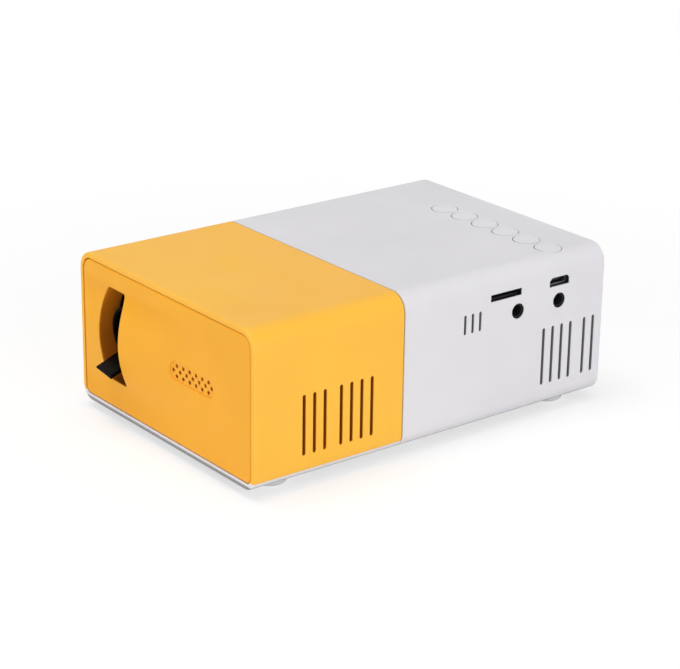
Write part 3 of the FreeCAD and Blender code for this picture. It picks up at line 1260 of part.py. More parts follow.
def make_board_chips():
    """Chips, and the plugs of the ribbon and the speaker's lead."""
    blocks = []
    for right, front, half_x, half_y, thickness, side in CHIPS:
        x = BOARD_RIGHT - right
        blocks.append(board_block(x, BOARD_FRONT_Y + front, half_x, half_y, thickness, side))
    half_x, half_y = SPEAKER_PLUG_HALF_SIZES
    blocks.append(board_block(SPEAKER_PLUG_X, SPEAKER_PLUG_Y, half_x, half_y, PLUG_HEIGHT, -1))
    half_y = RIBBON_WIDTH / 2 + RIBBON_GAP - SEAT_GAP
    blocks.append(board_block(RIBBON_PLUG_X, RIBBON_PLUG_Y, RIBBON_PLUG_HALF_WIDTH, half_y, PLUG_HEIGHT, 1))
    return blocks


def make_capacitors():
    """Upright capacitors under the board."""
    low = BOARD_UNDERSIDE - CAPACITOR_HEIGHT
    solids = []
    for right, front in CAPACITOR_PLACES:
        can = rod_z(CAPACITOR_RADIUS, low, BOARD_UNDERSIDE, BOARD_RIGHT - right, BOARD_FRONT_Y + front)
        lower = [e for e in can.Edges if abs(e.CenterOfMass.z - low) < TINY]
        solids.append(can.makeFillet(CAPACITOR_EDGE, lower))
    return solids


def ribbon_span():
    x0 = AXIS_X + RIBBON_SIDE_OFFSET
    return x0, x0 + RIBBON_WIDTH


def ribbon_y():
    distance, thickness = GLASS_PIECES["lcd_panel"]
    return ENGINE_START_Y + distance + thickness / 2


def make_lcd_ribbon():
    """The flat cable: up from the panel, back over the light box, across and down to the board."""
    x0, x1 = ribbon_span()
    y0 = ribbon_y()
    y1 = RIBBON_PLUG_Y + RIBBON_WIDTH / 2
    level = ENGINE_HIGH + ENGINE_WALL + RIBBON_GAP
    top = level + RIBBON_THICKNESS
    glass_high = glass_span()[2]
    drop_x = RIBBON_PLUG_X + RIBBON_THICKNESS
    rise = box(x0, x1, y0, y0 + RIBBON_THICKNESS, glass_high, top)
    back = box(x0, x1, y0, y1, level, top)
    across = box(x0, drop_x, y1 - RIBBON_WIDTH, y1, level, top)
    drop = box(RIBBON_PLUG_X, drop_x, y1 - RIBBON_WIDTH, y1, BOARD_TOP + PLUG_HEIGHT, top)
    return fuse(rise, [back, across, drop])


# ---- Speaker ------------------------------------------------------------------------------------

def speaker_front():
    return PANEL_THICKNESS + MESH_THICKNESS


def make_grille_mesh():
    y0 = PANEL_THICKNESS
    return pill_y(GRILLE_X, GRILLE_Z, GRILLE_LENGTH + MESH_MARGIN, GRILLE_HEIGHT + MESH_MARGIN,
                  y0, y0 + MESH_THICKNESS)


def make_speaker_frame():
    y0 = speaker_front()
    y1 = y0 + SPEAKER_DEPTH
    half_w = SPEAKER_WIDTH / 2
    half_h = SPEAKER_HEIGHT / 2
    frame = box(GRILLE_X - half_w, GRILLE_X + half_w, y0, y1, GRILLE_Z - half_h, GRILLE_Z + half_h)
    edges = [e for e in frame.Edges if abs(e.CenterOfMass.y - (y0 + y1) / 2) < TINY]
    frame = frame.makeFillet(SPEAKER_CORNER_RADIUS, edges)
    opening = pill_y(GRILLE_X, GRILLE_Z, SPEAKER_WIDTH - 2 * SPEAKER_WALL, SPEAKER_HEIGHT - 2 * SPEAKER_WALL,
                     y0 - 1, y1 - SPEAKER_WALL)
    seat = rod_y(SPEAKER_MAGNET_RADIUS, y0, y1 + 1, GRILLE_X, GRILLE_Z)
    return frame.cut([opening, seat])


def make_speaker_cone():
    y0 = speaker_front() + CONE_SETBACK
    length = SPEAKER_WIDTH - 2 * SPEAKER_WALL - 2 * LENS_CLEARANCE
    height = SPEAKER_HEIGHT - 2 * SPEAKER_WALL - 2 * LENS_CLEARANCE
    sheet = pill_y(GRILLE_X, GRILLE_Z, length, height, y0, y0 + CONE_THICKNESS)
    return fuse(sheet, [rod_y(COIL_RADIUS, y0, y0 + COIL_LENGTH, GRILLE_X, GRILLE_Z)])


def make_speaker_magnet():
    y1 = speaker_front() + SPEAKER_DEPTH + SPEAKER_MAGNET_DEPTH
    y0 = y1 - SPEAKER_MAGNET_DEPTH - SPEAKER_WALL
    magnet = rod_y(SPEAKER_MAGNET_RADIUS - LENS_CLEARANCE, y0, y1, GRILLE_X, GRILLE_Z)
    back = [e for e in magnet.Edges if abs(e.CenterOfMass.y - y1) < TINY]
    return magnet.makeFillet(SPEAKER_MAGNET_EDGE, back)


def make_speaker_lead():
    side = GRILLE_X + SPEAKER_WIDTH / 2 - 3.0
    back = speaker_front() + SPEAKER_DEPTH
    points = [
        V(side, back, GRILLE_Z),
        V(side, back + 7.0, GRILLE_Z),
        V(side + 1.5, back + 16.0, GRILLE_Z - 5.0),
        V(side + 1.0, back + 28.0, GRILLE_Z - 7.0),
        V(side - 0.5, back + 39.0, GRILLE_Z - 5.5),
        V(side - 2.0, back + 50.0, GRILLE_Z - 2.0),
        V(SPEAKER_PLUG_X, SPEAKER_PLUG_Y, BOARD_UNDERSIDE - 9.5),
        V(SPEAKER_PLUG_X, SPEAKER_PLUG_Y, BOARD_UNDERSIDE - PLUG_HEIGHT),
    ]
    return lead(points, LEAD_RADIUS)


# ---- Fan ------------------------------------------------------------------------------------------

def fan_screw_places():
    return [
        (FAN_Y + side * FAN_SCREW_OFFSET, FAN_Z + level * FAN_SCREW_OFFSET)
        for side in (-1, 1)
        for level in (-1, 1)
    ]


def make_fan_frame():
    half = FAN_SIZE / 2
    frame = box(FAN_INNER_X, FAN_OUTER_X, FAN_Y - half, FAN_Y + half, FAN_Z - half, FAN_Z + half)
    corners = [e for e in frame.Edges if abs(e.CenterOfMass.x - (FAN_INNER_X + FAN_OUTER_X) / 2) < TINY]
    frame = frame.makeFillet(FAN_CORNER_RADIUS, corners)
    frame = frame.cut(rod_x(FAN_BORE_RADIUS, FAN_INNER_X - 1, FAN_OUTER_X + 1, FAN_Y, FAN_Z))
    seat = rod_x(FAN_HUB_RADIUS, FAN_INNER_X, FAN_INNER_X + FAN_PLATE, FAN_Y, FAN_Z)
    struts = []
    for i in range(FAN_STRUTS):
        strut = box(FAN_INNER_X, FAN_INNER_X + FAN_PLATE, FAN_Y - FAN_STRUT_WIDTH / 2,
                    FAN_Y + FAN_STRUT_WIDTH / 2, FAN_Z, FAN_Z + FAN_SIZE / 2)
        strut.rotate(V(0, FAN_Y, FAN_Z), V(1, 0, 0), 360.0 / FAN_STRUTS * i)
        struts.append(strut)
    frame = fuse(frame, [seat] + struts)
    bearing = FAN_SHAFT_RADIUS + FAN_SHAFT_CLEARANCE
    cuts = [rod_x(bearing, FAN_INNER_X - 1, FAN_INNER_X + FAN_PLATE + 1, FAN_Y, FAN_Z)]
    for y, z in fan_screw_places():
        cuts.append(rod_x(SCREW_RADIUS + SCREW_CLEARANCE, FAN_INNER_X - 1, FAN_OUTER_X + 1, y, z))
    return frame.cut(cuts)


def make_fan_rotor():
    hub_start = FAN_INNER_X + FAN_PLATE + FAN_HUB_GAP
    hub_end = hub_start + FAN_HUB_LENGTH
    hub = rod_x(FAN_HUB_RADIUS, hub_start, hub_end, FAN_Y, FAN_Z)
    hub = hub.makeFillet(FAN_HUB_EDGE, [e for e in hub.Edges if abs(e.CenterOfMass.x - hub_end) < TINY])
    shaft = rod_x(FAN_SHAFT_RADIUS, FAN_INNER_X + SEAT_GAP, hub_start + 1, FAN_Y, FAN_Z)
    middle_x = (hub_start + hub_end) / 2
    reach = FAN_BLADE_RADIUS - FAN_HUB_RADIUS + 1
    limit = rod_x(FAN_BLADE_RADIUS, hub_start, hub_end, FAN_Y, FAN_Z)
    blades = []
    for i in range(FAN_BLADES):
        blade = Part.makeBox(FAN_BLADE_THICKNESS, FAN_BLADE_CHORD, reach,
                             V(-FAN_BLADE_THICKNESS / 2, -FAN_BLADE_CHORD / 2, FAN_HUB_RADIUS - 1))
        blade.rotate(V(0, 0, 0), V(0, 0, 1), -FAN_BLADE_PITCH_DEG)
        blade.rotate(V(0, 0, 0), V(1, 0, 0), 360.0 / FAN_BLADES * i)
        blade.translate(V(middle_x, FAN_Y, FAN_Z))
        blades.append(blade.common(limit))
    return hub.multiFuse(blades + [shaft])


def fan_pads():
    """The two opposite corners where screws hold the fan to pads on the cover's wall."""
    places = fan_screw_places()
    return places[0], places[-1]


def make_fan_screws():
    length = FAN_DEPTH + FAN_WALL_GAP + FAN_SCREW_GRIP - SEAT_GAP
    return [screw(length, V(FAN_INNER_X, y, z), V(1, 0, 0)) for y, z in fan_pads()]


def main():
    os.makedirs("parts", exist_ok=True)

    save("bottom_tray", make_bottom_tray())
    save("front_cover", make_front_cover())
    save("rear_cover", make_rear_cover())
    save("front_panel", make_front_panel())
    save("back_panel", make_back_panel())
    save("ir_window", make_ir_window())
    foot_names = ("foot_front_left", "foot_front_right", "foot_back_left", "foot_back_right")
    for name, (x, y) in zip(foot_names, foot_places()):
        save(name, make_foot(x, y))
    save("tripod_insert", make_tripod_insert())
    save_group("case_screws", make_case_screws())

    for i in range(KEY_COUNT):
        save("key_" + str(i + 1), make_key(i))
    save_group("key_switches", make_key_switches())

    save("focus_ring", make_focus_ring())
    save("focus_lever", make_focus_lever())
    save("lens_tube", make_lens_tube())
    save("lens_mount", make_lens_mount())
    save_group("lens_mount_screws", make_mount_screws())
    save_lenses()

    save("light_box", make_light_box())
    save("light_box_cover", make_light_box_cover())
    for name, (distance, thickness) in GLASS_PIECES.items():
        save(name, make_glass(distance, thickness))
    save("condenser_lens", make_condenser())
    save("led_board", make_led_board())
    save("led_chip", make_led_chip())
    save("heat_sink", make_heat_sink())
    save_group("engine_screws", make_engine_screws())

    save("main_board", make_main_board())
    save_group("board_screws", make_board_screws())
    save("card_socket", make_card_socket())
    save("micro_usb_socket", make_micro_usb_socket())
    save("headphone_jack", make_jack(HEADPHONE_JACK_Y))
    save("av_jack", make_jack(AV_JACK_Y))
    save("hdmi_socket", make_back_socket(HDMI_X, HDMI_WIDTH, HDMI_HEIGHT, HDMI_DEPTH, HDMI_TONGUE))
    save("usb_socket", make_back_socket(USB_A_X, USB_A_WIDTH, USB_A_HEIGHT, USB_A_DEPTH, USB_A_TONGUE))
    save("ir_receiver", make_ir_receiver())
    save_group("board_chips", make_board_chips())
    save_group("capacitors", make_capacitors())
    save("lcd_ribbon", make_lcd_ribbon())

    save("grille_mesh", make_grille_mesh())
    save("speaker_frame", make_speaker_frame())
    save("speaker_cone", make_speaker_cone())
    save("speaker_magnet", make_speaker_magnet())
    save("speaker_lead", make_speaker_lead())

    save("fan_frame", make_fan_frame())
    save("fan_rotor", make_fan_rotor())
    save_group("fan_screws", make_fan_screws())


main()
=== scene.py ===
import math

import bmesh
import bpy
import numpy as np
from bpy.props import FloatProperty, FloatVectorProperty, IntProperty, PointerProperty
from bpy.types import Operator, Panel, PropertyGroup
from mathutils import Matrix, Vector
from mathutils.geometry import delaunay_2d_cdt


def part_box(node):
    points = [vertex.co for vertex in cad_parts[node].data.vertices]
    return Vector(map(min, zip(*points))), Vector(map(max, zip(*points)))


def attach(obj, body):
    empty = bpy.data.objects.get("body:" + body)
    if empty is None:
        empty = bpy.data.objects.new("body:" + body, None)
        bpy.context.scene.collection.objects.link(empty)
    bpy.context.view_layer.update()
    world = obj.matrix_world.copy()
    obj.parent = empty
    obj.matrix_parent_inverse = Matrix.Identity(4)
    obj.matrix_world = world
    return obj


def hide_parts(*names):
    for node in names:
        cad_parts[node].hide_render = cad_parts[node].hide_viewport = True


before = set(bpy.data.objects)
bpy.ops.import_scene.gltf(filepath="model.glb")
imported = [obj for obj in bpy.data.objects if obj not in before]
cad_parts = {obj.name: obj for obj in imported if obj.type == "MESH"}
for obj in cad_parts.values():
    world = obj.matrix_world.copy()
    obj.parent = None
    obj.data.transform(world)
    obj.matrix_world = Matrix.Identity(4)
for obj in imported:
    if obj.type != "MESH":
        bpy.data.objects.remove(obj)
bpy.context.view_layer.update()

bl_info = {
    "name": "Home Projector Finishes",
    "version": (1, 0, 0),
    "blender": (4, 5, 0),
    "location": "3D View > Sidebar > Projector",
    "description": "Finishes, front panel, focus lever and studio for a small box projector",
    "category": "Object",
}

MERGE_DISTANCE = 1e-7
SHARP_ANGLE = math.radians(38)


# ---- Settings that a user would change ----

def colour(name, description, default):
    """A colour setting; the default is given in the display's own 0 to 255 steps."""
    linear = [srgb_to_linear(step / 255) for step in default]
    return FloatVectorProperty(name=name, description=description, subtype="COLOR", size=3,
                               min=0.0, max=1.0, default=linear)


def length(name, description, default_mm):
    return FloatProperty(name=name, description=description, default=default_mm / 1000,
                         min=0.0, unit="LENGTH", subtype="DISTANCE", precision=5)


def share(name, description, default):
    return FloatProperty(name=name, description=description, default=default, min=0.0, max=1.0,
                         subtype="FACTOR")


def angle(name, description, degrees):
    return FloatProperty(name=name, description=description, default=math.radians(degrees),
                         subtype="ANGLE")


def power(name, description, watts):
    return FloatProperty(name=name, description=description, default=watts, min=0.0, unit="POWER")


def srgb_to_linear(value):
    return value / 12.92 if value <= 0.04045 else ((value + 0.055) / 1.055) ** 2.4


class ProjectorColours(PropertyGroup):
    """Colours of the projector's materials."""
    yellow_cover: colour("Yellow cover", "Front cover's plastic", (255, 190, 60))
    yellow_panel: colour("Yellow panel", "Front panel's plastic", (251, 177, 34))
    white_shell: colour("White shell", "Rear cover's and back panel's plastic", (226, 224, 228))
    white_tray: colour("White tray", "Bottom tray's plastic", (232, 231, 235))
    white_key: colour("Keys", "Key caps' plastic", (228, 227, 230))
    # Painted shade on the tray's underside and the lowest part of its rounding.
    tray_underside_shade: colour("Tray base", "Underside of the bottom tray", (140, 142, 146))
    # Painted shade on the keys' near rims.
    key_rim: colour("Key rims", "Rounded rims of the key caps", (120, 120, 124))
    # Painted shade in the front panel's two folds over and under the swell.
    panel_fold_shade: colour("Panel folds", "Front panel over and under the swell", (246, 170, 10))
    # Painted shade on the walls of the yellow cover's vents.
    yellow_vent_shade: colour("Yellow inside", "Walls of the yellow cover's vents", (196, 104, 16))
    # Painted shade on the walls of the white cover's vents.
    white_vent_shade: colour("White inside", "Walls of the white cover's vents", (150, 150, 150))
    rubber: colour("Feet", "Rubber of the feet", (222, 222, 224))
    black_plastic: colour("Black plastic", "Focus ring, jacks, fan and speaker frame", (20, 20, 22))
    grey_plastic: colour("Grey plastic", "Light box and lens mount", (58, 58, 60))
    steel: colour("Steel", "Screws", (196, 197, 200))
    nickel: colour("Nickel", "Socket shells", (188, 188, 190))
    brass: colour("Brass", "Tripod insert", (206, 170, 104))
    aluminium: colour("Aluminium", "Heat sink and the light source's board", (208, 210, 213))
    board: colour("Circuit board", "Solder mask", (20, 92, 46))
    copper: colour("Board pads", "Plated pads and tracks", (214, 186, 110))
    ribbon: colour("Ribbon", "Flat cable's film", (214, 142, 44))
    lead: colour("Lead", "Speaker lead's sleeve", (176, 30, 28))
    # Painted shade on the window's walls, painted darker low and lighter high.
    window_wall_shade: colour("Window wall", "Front panel's plastic deep in the window", (226, 122, 22))
    # Painted black shade at the back of the window's walls.
    window_back_shade: colour("Window back", "Rear part of the window's walls", (14, 10, 8))


class FrontPanelShape(PropertyGroup):
    """Sizes of the front panel."""
    thickness: length("Thickness", "From the flat front to the back face", 2.0)
    top_radius: length("Top corners", "Radius of the panel's upper corners", 3.88)
    bottom_radius: length("Bottom corners", "Radius of the panel's lower corners", 2.88)
    bottom_cut: length("Corner cut", "How much of the lower corners the tray's lip takes", 0.35)
    seam: length("Seam", "How far the panel's outline stands in from its box", 0.16)
    edge_radius: length("Edge rounding", "Rounding of the panel's outer edge", 0.6)
    window_radius: length("Window curve", "Radius of the window's round left side", 21.0)
    window_width: length("Window width", "From the lip to the window's leftmost point", 14.6)
    window_low: length("Window bottom", "Height of the window's lower edge over the feet", 12.8)
    window_high: length("Window top", "Height of the window's upper edge over the feet", 40.7)
    window_edge: length("Window rounding", "Rounding of the window's edge", 0.22)
    window_corner: length("Window corners", "How far each corner of the window is rounded", 0.8)
    window_level: length("Window level", "Height of the round side's middle over the feet", 26.1)
    # Painted shade: from this depth behind the front the window's walls are painted black.
    black_shade_depth: length("Dark wall", "Depth at which the window's walls turn black", 7.0)
    lip_distance: length("Lip distance", "From the window's lip to the panel's left side", 22.38)
    tunnel_depth: length("Tunnel depth", "How far the window's walls reach behind the front", 8.0)
    tunnel_wall: length("Tunnel wall", "Thickness of the window's walls", 1.2)
    crown: length("Swell", "How far the band beside the window swells out at the lip", 3.0)
    crown_end: length("Swell length", "Where the swell has faded out, from the lip", 36.0)
    foot_softness: length("Swell foot", "How softly the swell rises from the flat", 0.3)
    cove: length("Cove", "Depth of the soft step under the panel's upper band", 0.4)
    cove_top: length("Cove top", "Height of the soft step's upper edge over the feet", 41.5)
    cove_drop: length("Cove drop", "Height of the soft step", 4.5)
    cove_reach: length("Cove reach", "How far below the step the surface comes back", 16.0)
    cove_right: length("Cove right end", "How far right of the middle the step has faded out", 18.0)
    cove_side: length("Cove side", "How far the step takes to fade out at its ends", 22.0)
    cove_left: length("Cove left end", "How far left of the middle the step starts", 40.0)
    grille_length: length("Grille length", "Length of the grille's recess", 20.8)
    grille_height: length("Grille height", "Height of the grille's recess", 5.6)
    grille_side: length("Grille place", "From the panel's right side to the grille's middle", 27.43)
    grille_level: length("Grille level", "Height of the grille's middle over the feet", 25.9)
    grille_depth: length("Grille depth", "Depth of the recess under the surface", 0.35)
    grille_edge: length("Grille rounding", "Rounding of the recess's edge", 0.22)
    hole_radius: length("Grille holes", "Radius of the grille's holes", 0.55)
    hole_pitch: length("Hole pitch", "Distance between the holes of a row", 3.0)
    row_pitch: length("Row pitch", "Distance between the rows of holes", 1.5)
    middle_row: IntProperty(name="Middle row", description="Holes in the middle row", default=7,
                            min=1)


class LeverShape(PropertyGroup):
    """Sizes of the focus lever's tab."""
    thickness: length("Thickness", "Thickness of the tab", 1.5)
    thin_side: length("Thin side", "Thickness of the tab at its left side", 0.5)
    side_shift: length("Side shift", "How far the tab stands to the right of its box", 0.6)
    corner: length("Corners", "Rounding along the tab", 0.2)
    end: length("End rounding", "Rounding of the tab's two ends", 0.25)


class StageSettings(PropertyGroup):
    """Camera, lamps and floor."""
    aim: FloatVectorProperty(name="Aim", description="Point that the camera looks at", size=3,
                             subtype="XYZ", unit="LENGTH", default=(0.00619, -0.00385, 0.024))
    distance: length("Distance", "From the camera to the point it looks at", 627.52)
    turn: angle("Turn", "Camera's place around the object, from the front", 51.940)
    rise: angle("Rise", "Camera's angle over the floor", 20.702)
    roll: angle("Roll", "Camera's roll", 0.8075)
    focal: FloatProperty(name="Focal length", description="Camera's focal length in millimetres",
                         default=114.85, min=1.0)
    sky: FloatProperty(name="Sky", description="Strength of the even light", default=0.42, min=0.0)
    side_lamp: power("Side lamp", "Power of the lamp on the right", 1.6)
    front_lamp: power("Front lamp", "Power of the lamp before the front", 1.85)
    top_lamp: power("Top lamp", "Power of the lamp overhead", 1.85)
    floor_shade: share("Floor", "Floor's reflectance for bounced light", 0.8)
    floor_lift: share("Floor lift", "Light added to the floor where it is seen directly", 0.62)
    floor_reach: length("Floor reach", "Distance at which the floor's shadow starts to fade", 120.0)


def settings():
    return bpy.context.scene.projector_settings


class ProjectorSettings(PropertyGroup):
    """All of the projector's settings."""
    colours: PointerProperty(type=ProjectorColours)
    panel: PointerProperty(type=FrontPanelShape)
    lever: PointerProperty(type=LeverShape)
    stage: PointerProperty(type=StageSettings)


# ---- Mesh helpers ----

def make_piece(name, points, faces, deep=None):
    """Put whole arrays into a new mesh object at the origin: points (n, 3) and a list of face
    arrays, each (m, 3) or (m, 4). Points that coincide are merged and the faces turned outward.
    deep, one number a point, is kept as the mesh attribute of that name."""
    counts = np.concatenate([np.full(len(f), f.shape[1]) for f in faces])
    corners = np.concatenate([f.ravel() for f in faces])
    starts = np.cumsum(counts) - counts
    mesh = bpy.data.meshes.new(name)
    mesh.vertices.add(len(points))
    mesh.vertices.foreach_set("co", np.asarray(points, np.float32).ravel())
    mesh.loops.add(len(corners))
    mesh.loops.foreach_set("vertex_index", corners.astype(np.int32))
    mesh.polygons.add(len(counts))
    mesh.polygons.foreach_set("loop_start", starts.astype(np.int32))
    if deep is not None:
        attribute = mesh.attributes.new("deep", "FLOAT", "POINT")
        attribute.data.foreach_set("value", np.asarray(deep, np.float32))
    mesh.update(calc_edges=True)
    work = bmesh.new()
    work.from_mesh(mesh)
    bmesh.ops.remove_doubles(work, verts=work.verts, dist=MERGE_DISTANCE)
    bmesh.ops.dissolve_degenerate(work, edges=work.edges, dist=MERGE_DISTANCE)
    bmesh.ops.recalc_face_normals(work, faces=work.faces)
    work.to_mesh(mesh)
    work.free()
    mesh.polygons.foreach_set("use_smooth", np.ones(len(mesh.polygons), bool))
    mesh.set_sharp_from_angle(angle=SHARP_ANGLE)
    piece = bpy.data.objects.new(name, mesh)
    bpy.context.scene.collection.objects.link(piece)
    return piece


def band_faces(rings, count, first=0):
    """Faces of a band of closed rings: ring after ring, each of count points, joined by quads."""
    ring = np.arange(rings - 1)[:, None] * count
    here = np.arange(count)[None, :]
    after = (here + 1) % count
    quads = np.stack([ring + here, ring + after, ring + count + after, ring + count + here], -1)
    return quads.reshape(-1, 4) + first


def even_loop(points, step):
    """A closed outline resampled at even steps along its length."""
    closed = np.vstack([points, points[:1]])
    along = np.concatenate([[0], np.cumsum(np.linalg.norm(np.diff(closed, axis=0), axis=1))])
    wanted = np.linspace(0, along[-1], int(round(along[-1] / step)), endpoint=False)
    return np.stack([np.interp(wanted, along, closed[:, k]) for k in (0, 1)], axis=1)


def soften_corners(loop, reach, step):
    """Each point becomes the mean of its neighbours within reach, which rounds the corners and
    leaves the straight stretches straight."""
    half = max(1, int(round(reach / step)))
    return np.mean([np.roll(loop, k, axis=0) for k in range(-half, half + 1)], axis=0)


def loop_normals(loop):
    """Unit normals that point out of the area that a closed loop goes round."""
    ahead = np.roll(loop, -1, axis=0) - np.roll(loop, 1, axis=0)
    normals = np.stack([ahead[:, 1], -ahead[:, 0]], axis=1)
    normals /= np.linalg.norm(normals, axis=1, keepdims=True)
    after = np.roll(loop, -1, axis=0)
    area = np.sum(loop[:, 0] * after[:, 1] - after[:, 0] * loop[:, 1])
    return normals * np.sign(area)


def inside(points, loop):
    """Which points lie in a closed loop: a level ray from them crosses it an odd number of
    times."""
    x = points[:, 0, None]
    z = points[:, 1, None]
    after = np.roll(loop, -1, axis=0)
    crosses = (loop[:, 1] > z) != (after[:, 1] > z)
    rise = after[:, 1] - loop[:, 1]
    rise = np.where(rise == 0, 1.0, rise)
    at = loop[:, 0] + (z - loop[:, 1]) * (after[:, 0] - loop[:, 0]) / rise
    return np.sum(crosses & (x < at), axis=1) % 2 == 1


def clear_of(points, loop, gap):
    """Which points are further than gap from every point of the loop."""
    apart = np.linalg.norm(points[:, None, :] - loop[None, :, :], axis=2)
    return apart.min(axis=1) > gap


def fill_area(outer, holes, step):
    """Triangles that fill the area inside one loop and outside others: an even grid of points,
    triangulated in millimetres together with the loops so that their edges are kept."""
    low = outer.min(axis=0)
    high = outer.max(axis=0)
    xs = np.arange(low[0] + step / 2, high[0], step)
    zs = np.arange(low[1] + step / 2, high[1], step)
    grid = np.stack(np.meshgrid(xs, zs), axis=-1).reshape(-1, 2)
    keep = inside(grid, outer) & clear_of(grid, outer, step / 2)
    for hole in holes:
        keep &= ~inside(grid, hole) & clear_of(grid, hole, step / 2)
    loops = [outer, *holes]
    edges = []
    first = 0
    for loop in loops:
        here = np.arange(len(loop))
        edges.append(np.stack([here, np.roll(here, -1)], axis=1) + first)
        first += len(loop)
    points = [Vector(point) for point in np.vstack([*loops, grid[keep]]) * 1000]
    result = delaunay_2d_cdt(points, np.vstack(edges).tolist(), [], 0, MERGE_DISTANCE)
    flat = np.array([tuple(point) for point in result[0]]) / 1000
    triangles = np.array(result[2])
    middles = flat[triangles].mean(axis=1)
    wanted = inside(middles, outer)
    for hole in holes:
        wanted &= ~inside(middles, hole)
    return flat, triangles[wanted]


def arc_points(centre, radius, start, end, count=48):
    """Points on a circle from one angle to another, in degrees."""
    angles = np.radians(np.linspace(start, end, count))
    return np.array(centre) + radius * np.stack([np.cos(angles), np.sin(angles)], axis=1)


def pill_points(centre, whole_length, height):
    """A level slot: two half circles joined by straight lines."""
    radius = height / 2
    reach = whole_length / 2 - radius
    right = arc_points((centre[0] + reach, centre[1]), radius, -90, 90)
    left = arc_points((centre[0] - reach, centre[1]), radius, 90, 270)
    return np.vstack([right, left])


# ---- Material helpers ----

class Recipe:
    """A material's node tree, put together one node at a time."""

    def __init__(self, name):
        self.material = bpy.data.materials.new(name)
        self.material.use_nodes = True
        self.tree = self.material.node_tree
        self.shader = self.tree.nodes["Principled BSDF"]
        self.place = self.tree.nodes.new("ShaderNodeTexCoord").outputs["Object"]

    def node(self, kind, options=None, **inputs):
        """A node of the given kind; each input is a value, or an output to link from."""
        made = self.tree.nodes.new("ShaderNode" + kind)
        for key, value in (options or {}).items():
            setattr(made, key, value)
        for key, value in inputs.items():
            self.feed(made.inputs[key.replace("_", " ")], value)
        return made

    def feed(self, socket, value):
        """Link an output to a socket, or give the socket a value."""
        if isinstance(value, bpy.types.NodeSocket):
            self.tree.links.new(value, socket)
        else:
            socket.default_value = value

    def set(self, **inputs):
        """Values for the shader's own sockets."""
        for key, value in inputs.items():
            self.feed(self.shader.inputs[key.replace("_", " ")], value)

    def pair(self, kind, operation, a, b):
        """A node that works on two values."""
        made = self.node(kind, {"operation": operation})
        self.feed(made.inputs[0], a)
        self.feed(made.inputs[1], b)
        return made.outputs[0]

    def sum(self, a, b, operation="ADD"):
        """Two numbers added, or put together by another operation."""
        return self.pair("Math", operation, a, b)

    def product(self, first, *others):
        for other in others:
            first = self.sum(first, other, "MULTIPLY")
        return first

    def stretched(self, scale, centre=(0, 0, 0)):
        """Object coordinates moved to a centre, then stretched."""
        moved = self.pair("VectorMath", "SUBTRACT", self.place, centre)
        return self.pair("VectorMath", "MULTIPLY", moved, scale)

    def axes(self, place=None):
        """Object coordinates, or another place, taken apart into X, Y and Z."""
        return self.node("SeparateXYZ", Vector=place or self.place).outputs

    def distance(self, place=None):
        """How far a place is from the middle of its coordinates."""
        made = self.node("VectorMath", {"operation": "LENGTH"}, Vector=place or self.place)
        return made.outputs["Value"]

    def noise(self, size, detail=2.0, roughness=0.5, place=None):
        """Noise whose features are about as large as size, in metres."""
        return self.node("TexNoise", Vector=place or self.place, Scale=1 / size, Detail=detail,
                         Roughness=roughness).outputs["Fac"]

    def cells(self, size, feature="F1"):
        """Distance to the nearest of many points that lie about size apart, in metres."""
        made = self.node("TexVoronoi", {"feature": feature}, Vector=self.place, Scale=1 / size)
        return made.outputs["Distance"]

    def ramp(self, value, low, high, from_low=0.0, from_high=1.0):
        """A value taken from one range to another, and held at that range's ends."""
        return self.node("MapRange", Value=value, From_Min=from_low, From_Max=from_high,
                         To_Min=low, To_Max=high).outputs["Result"]

    def mix(self, share_of_b, a, b):
        """A mix of two colours."""
        made = self.node("Mix", {"data_type": "RGBA"})
        self.feed(made.inputs[0], share_of_b)
        for socket, value in ((made.inputs[6], a), (made.inputs[7], b)):
            self.feed(socket, value if isinstance(value, bpy.types.NodeSocket) else (*value, 1.0))
        return made.outputs[2]

    def colour_now(self):
        """What feeds the shader's colour so far, to be painted over in places."""
        return self.shader.inputs["Base Color"].links[0].from_socket

    def bump(self, height, depth):
        """Surface relief of the given depth, in metres, on the shader's normal."""
        made = self.node("Bump", Height=height, Distance=depth, Strength=1.0)
        self.set(Normal=made.outputs["Normal"])

    def within(self, low, high):
        """1 inside a box in the row frame and 0 outside it."""
        axes = self.axes()
        return self.product(*[
            self.product(self.sum(axes[axis], low[axis], "GREATER_THAN"),
                         self.sum(axes[axis], high[axis], "LESS_THAN")) for axis in range(3)])


def shade(base, factor):
    """A colour made lighter or darker."""
    return tuple(min(1.0, channel * factor) for channel in base)


def moulded(name, base, roughness, **choices):
    """Moulded plastic as a material."""
    return moulded_recipe(name, base, roughness, **choices).material


def moulded_recipe(name, base, roughness, grain=0.00035, depth=0.000012, mottle=0.03, specular=0.5):
    """Moulded plastic: broad faint colour drift, a fine spark-eroded grain and uneven gloss."""
    recipe = Recipe(name)
    drift = recipe.noise(0.03, detail=3.0)
    drifting = recipe.ramp(drift, 0, 1, 0.3, 0.7)
    recipe.set(Base_Color=recipe.mix(drifting, shade(base, 1 - mottle), shade(base, 1 + mottle)))
    fine = recipe.noise(grain, detail=4.0, roughness=0.6)
    pits = recipe.cells(grain * 1.6, "SMOOTH_F1")
    recipe.bump(recipe.sum(fine, pits), depth)
    gloss = recipe.noise(0.012, detail=2.0)
    recipe.set(Roughness=recipe.ramp(gloss, roughness - 0.04, roughness + 0.04, 0.3, 0.7),
               Specular_IOR_Level=specular)
    return recipe


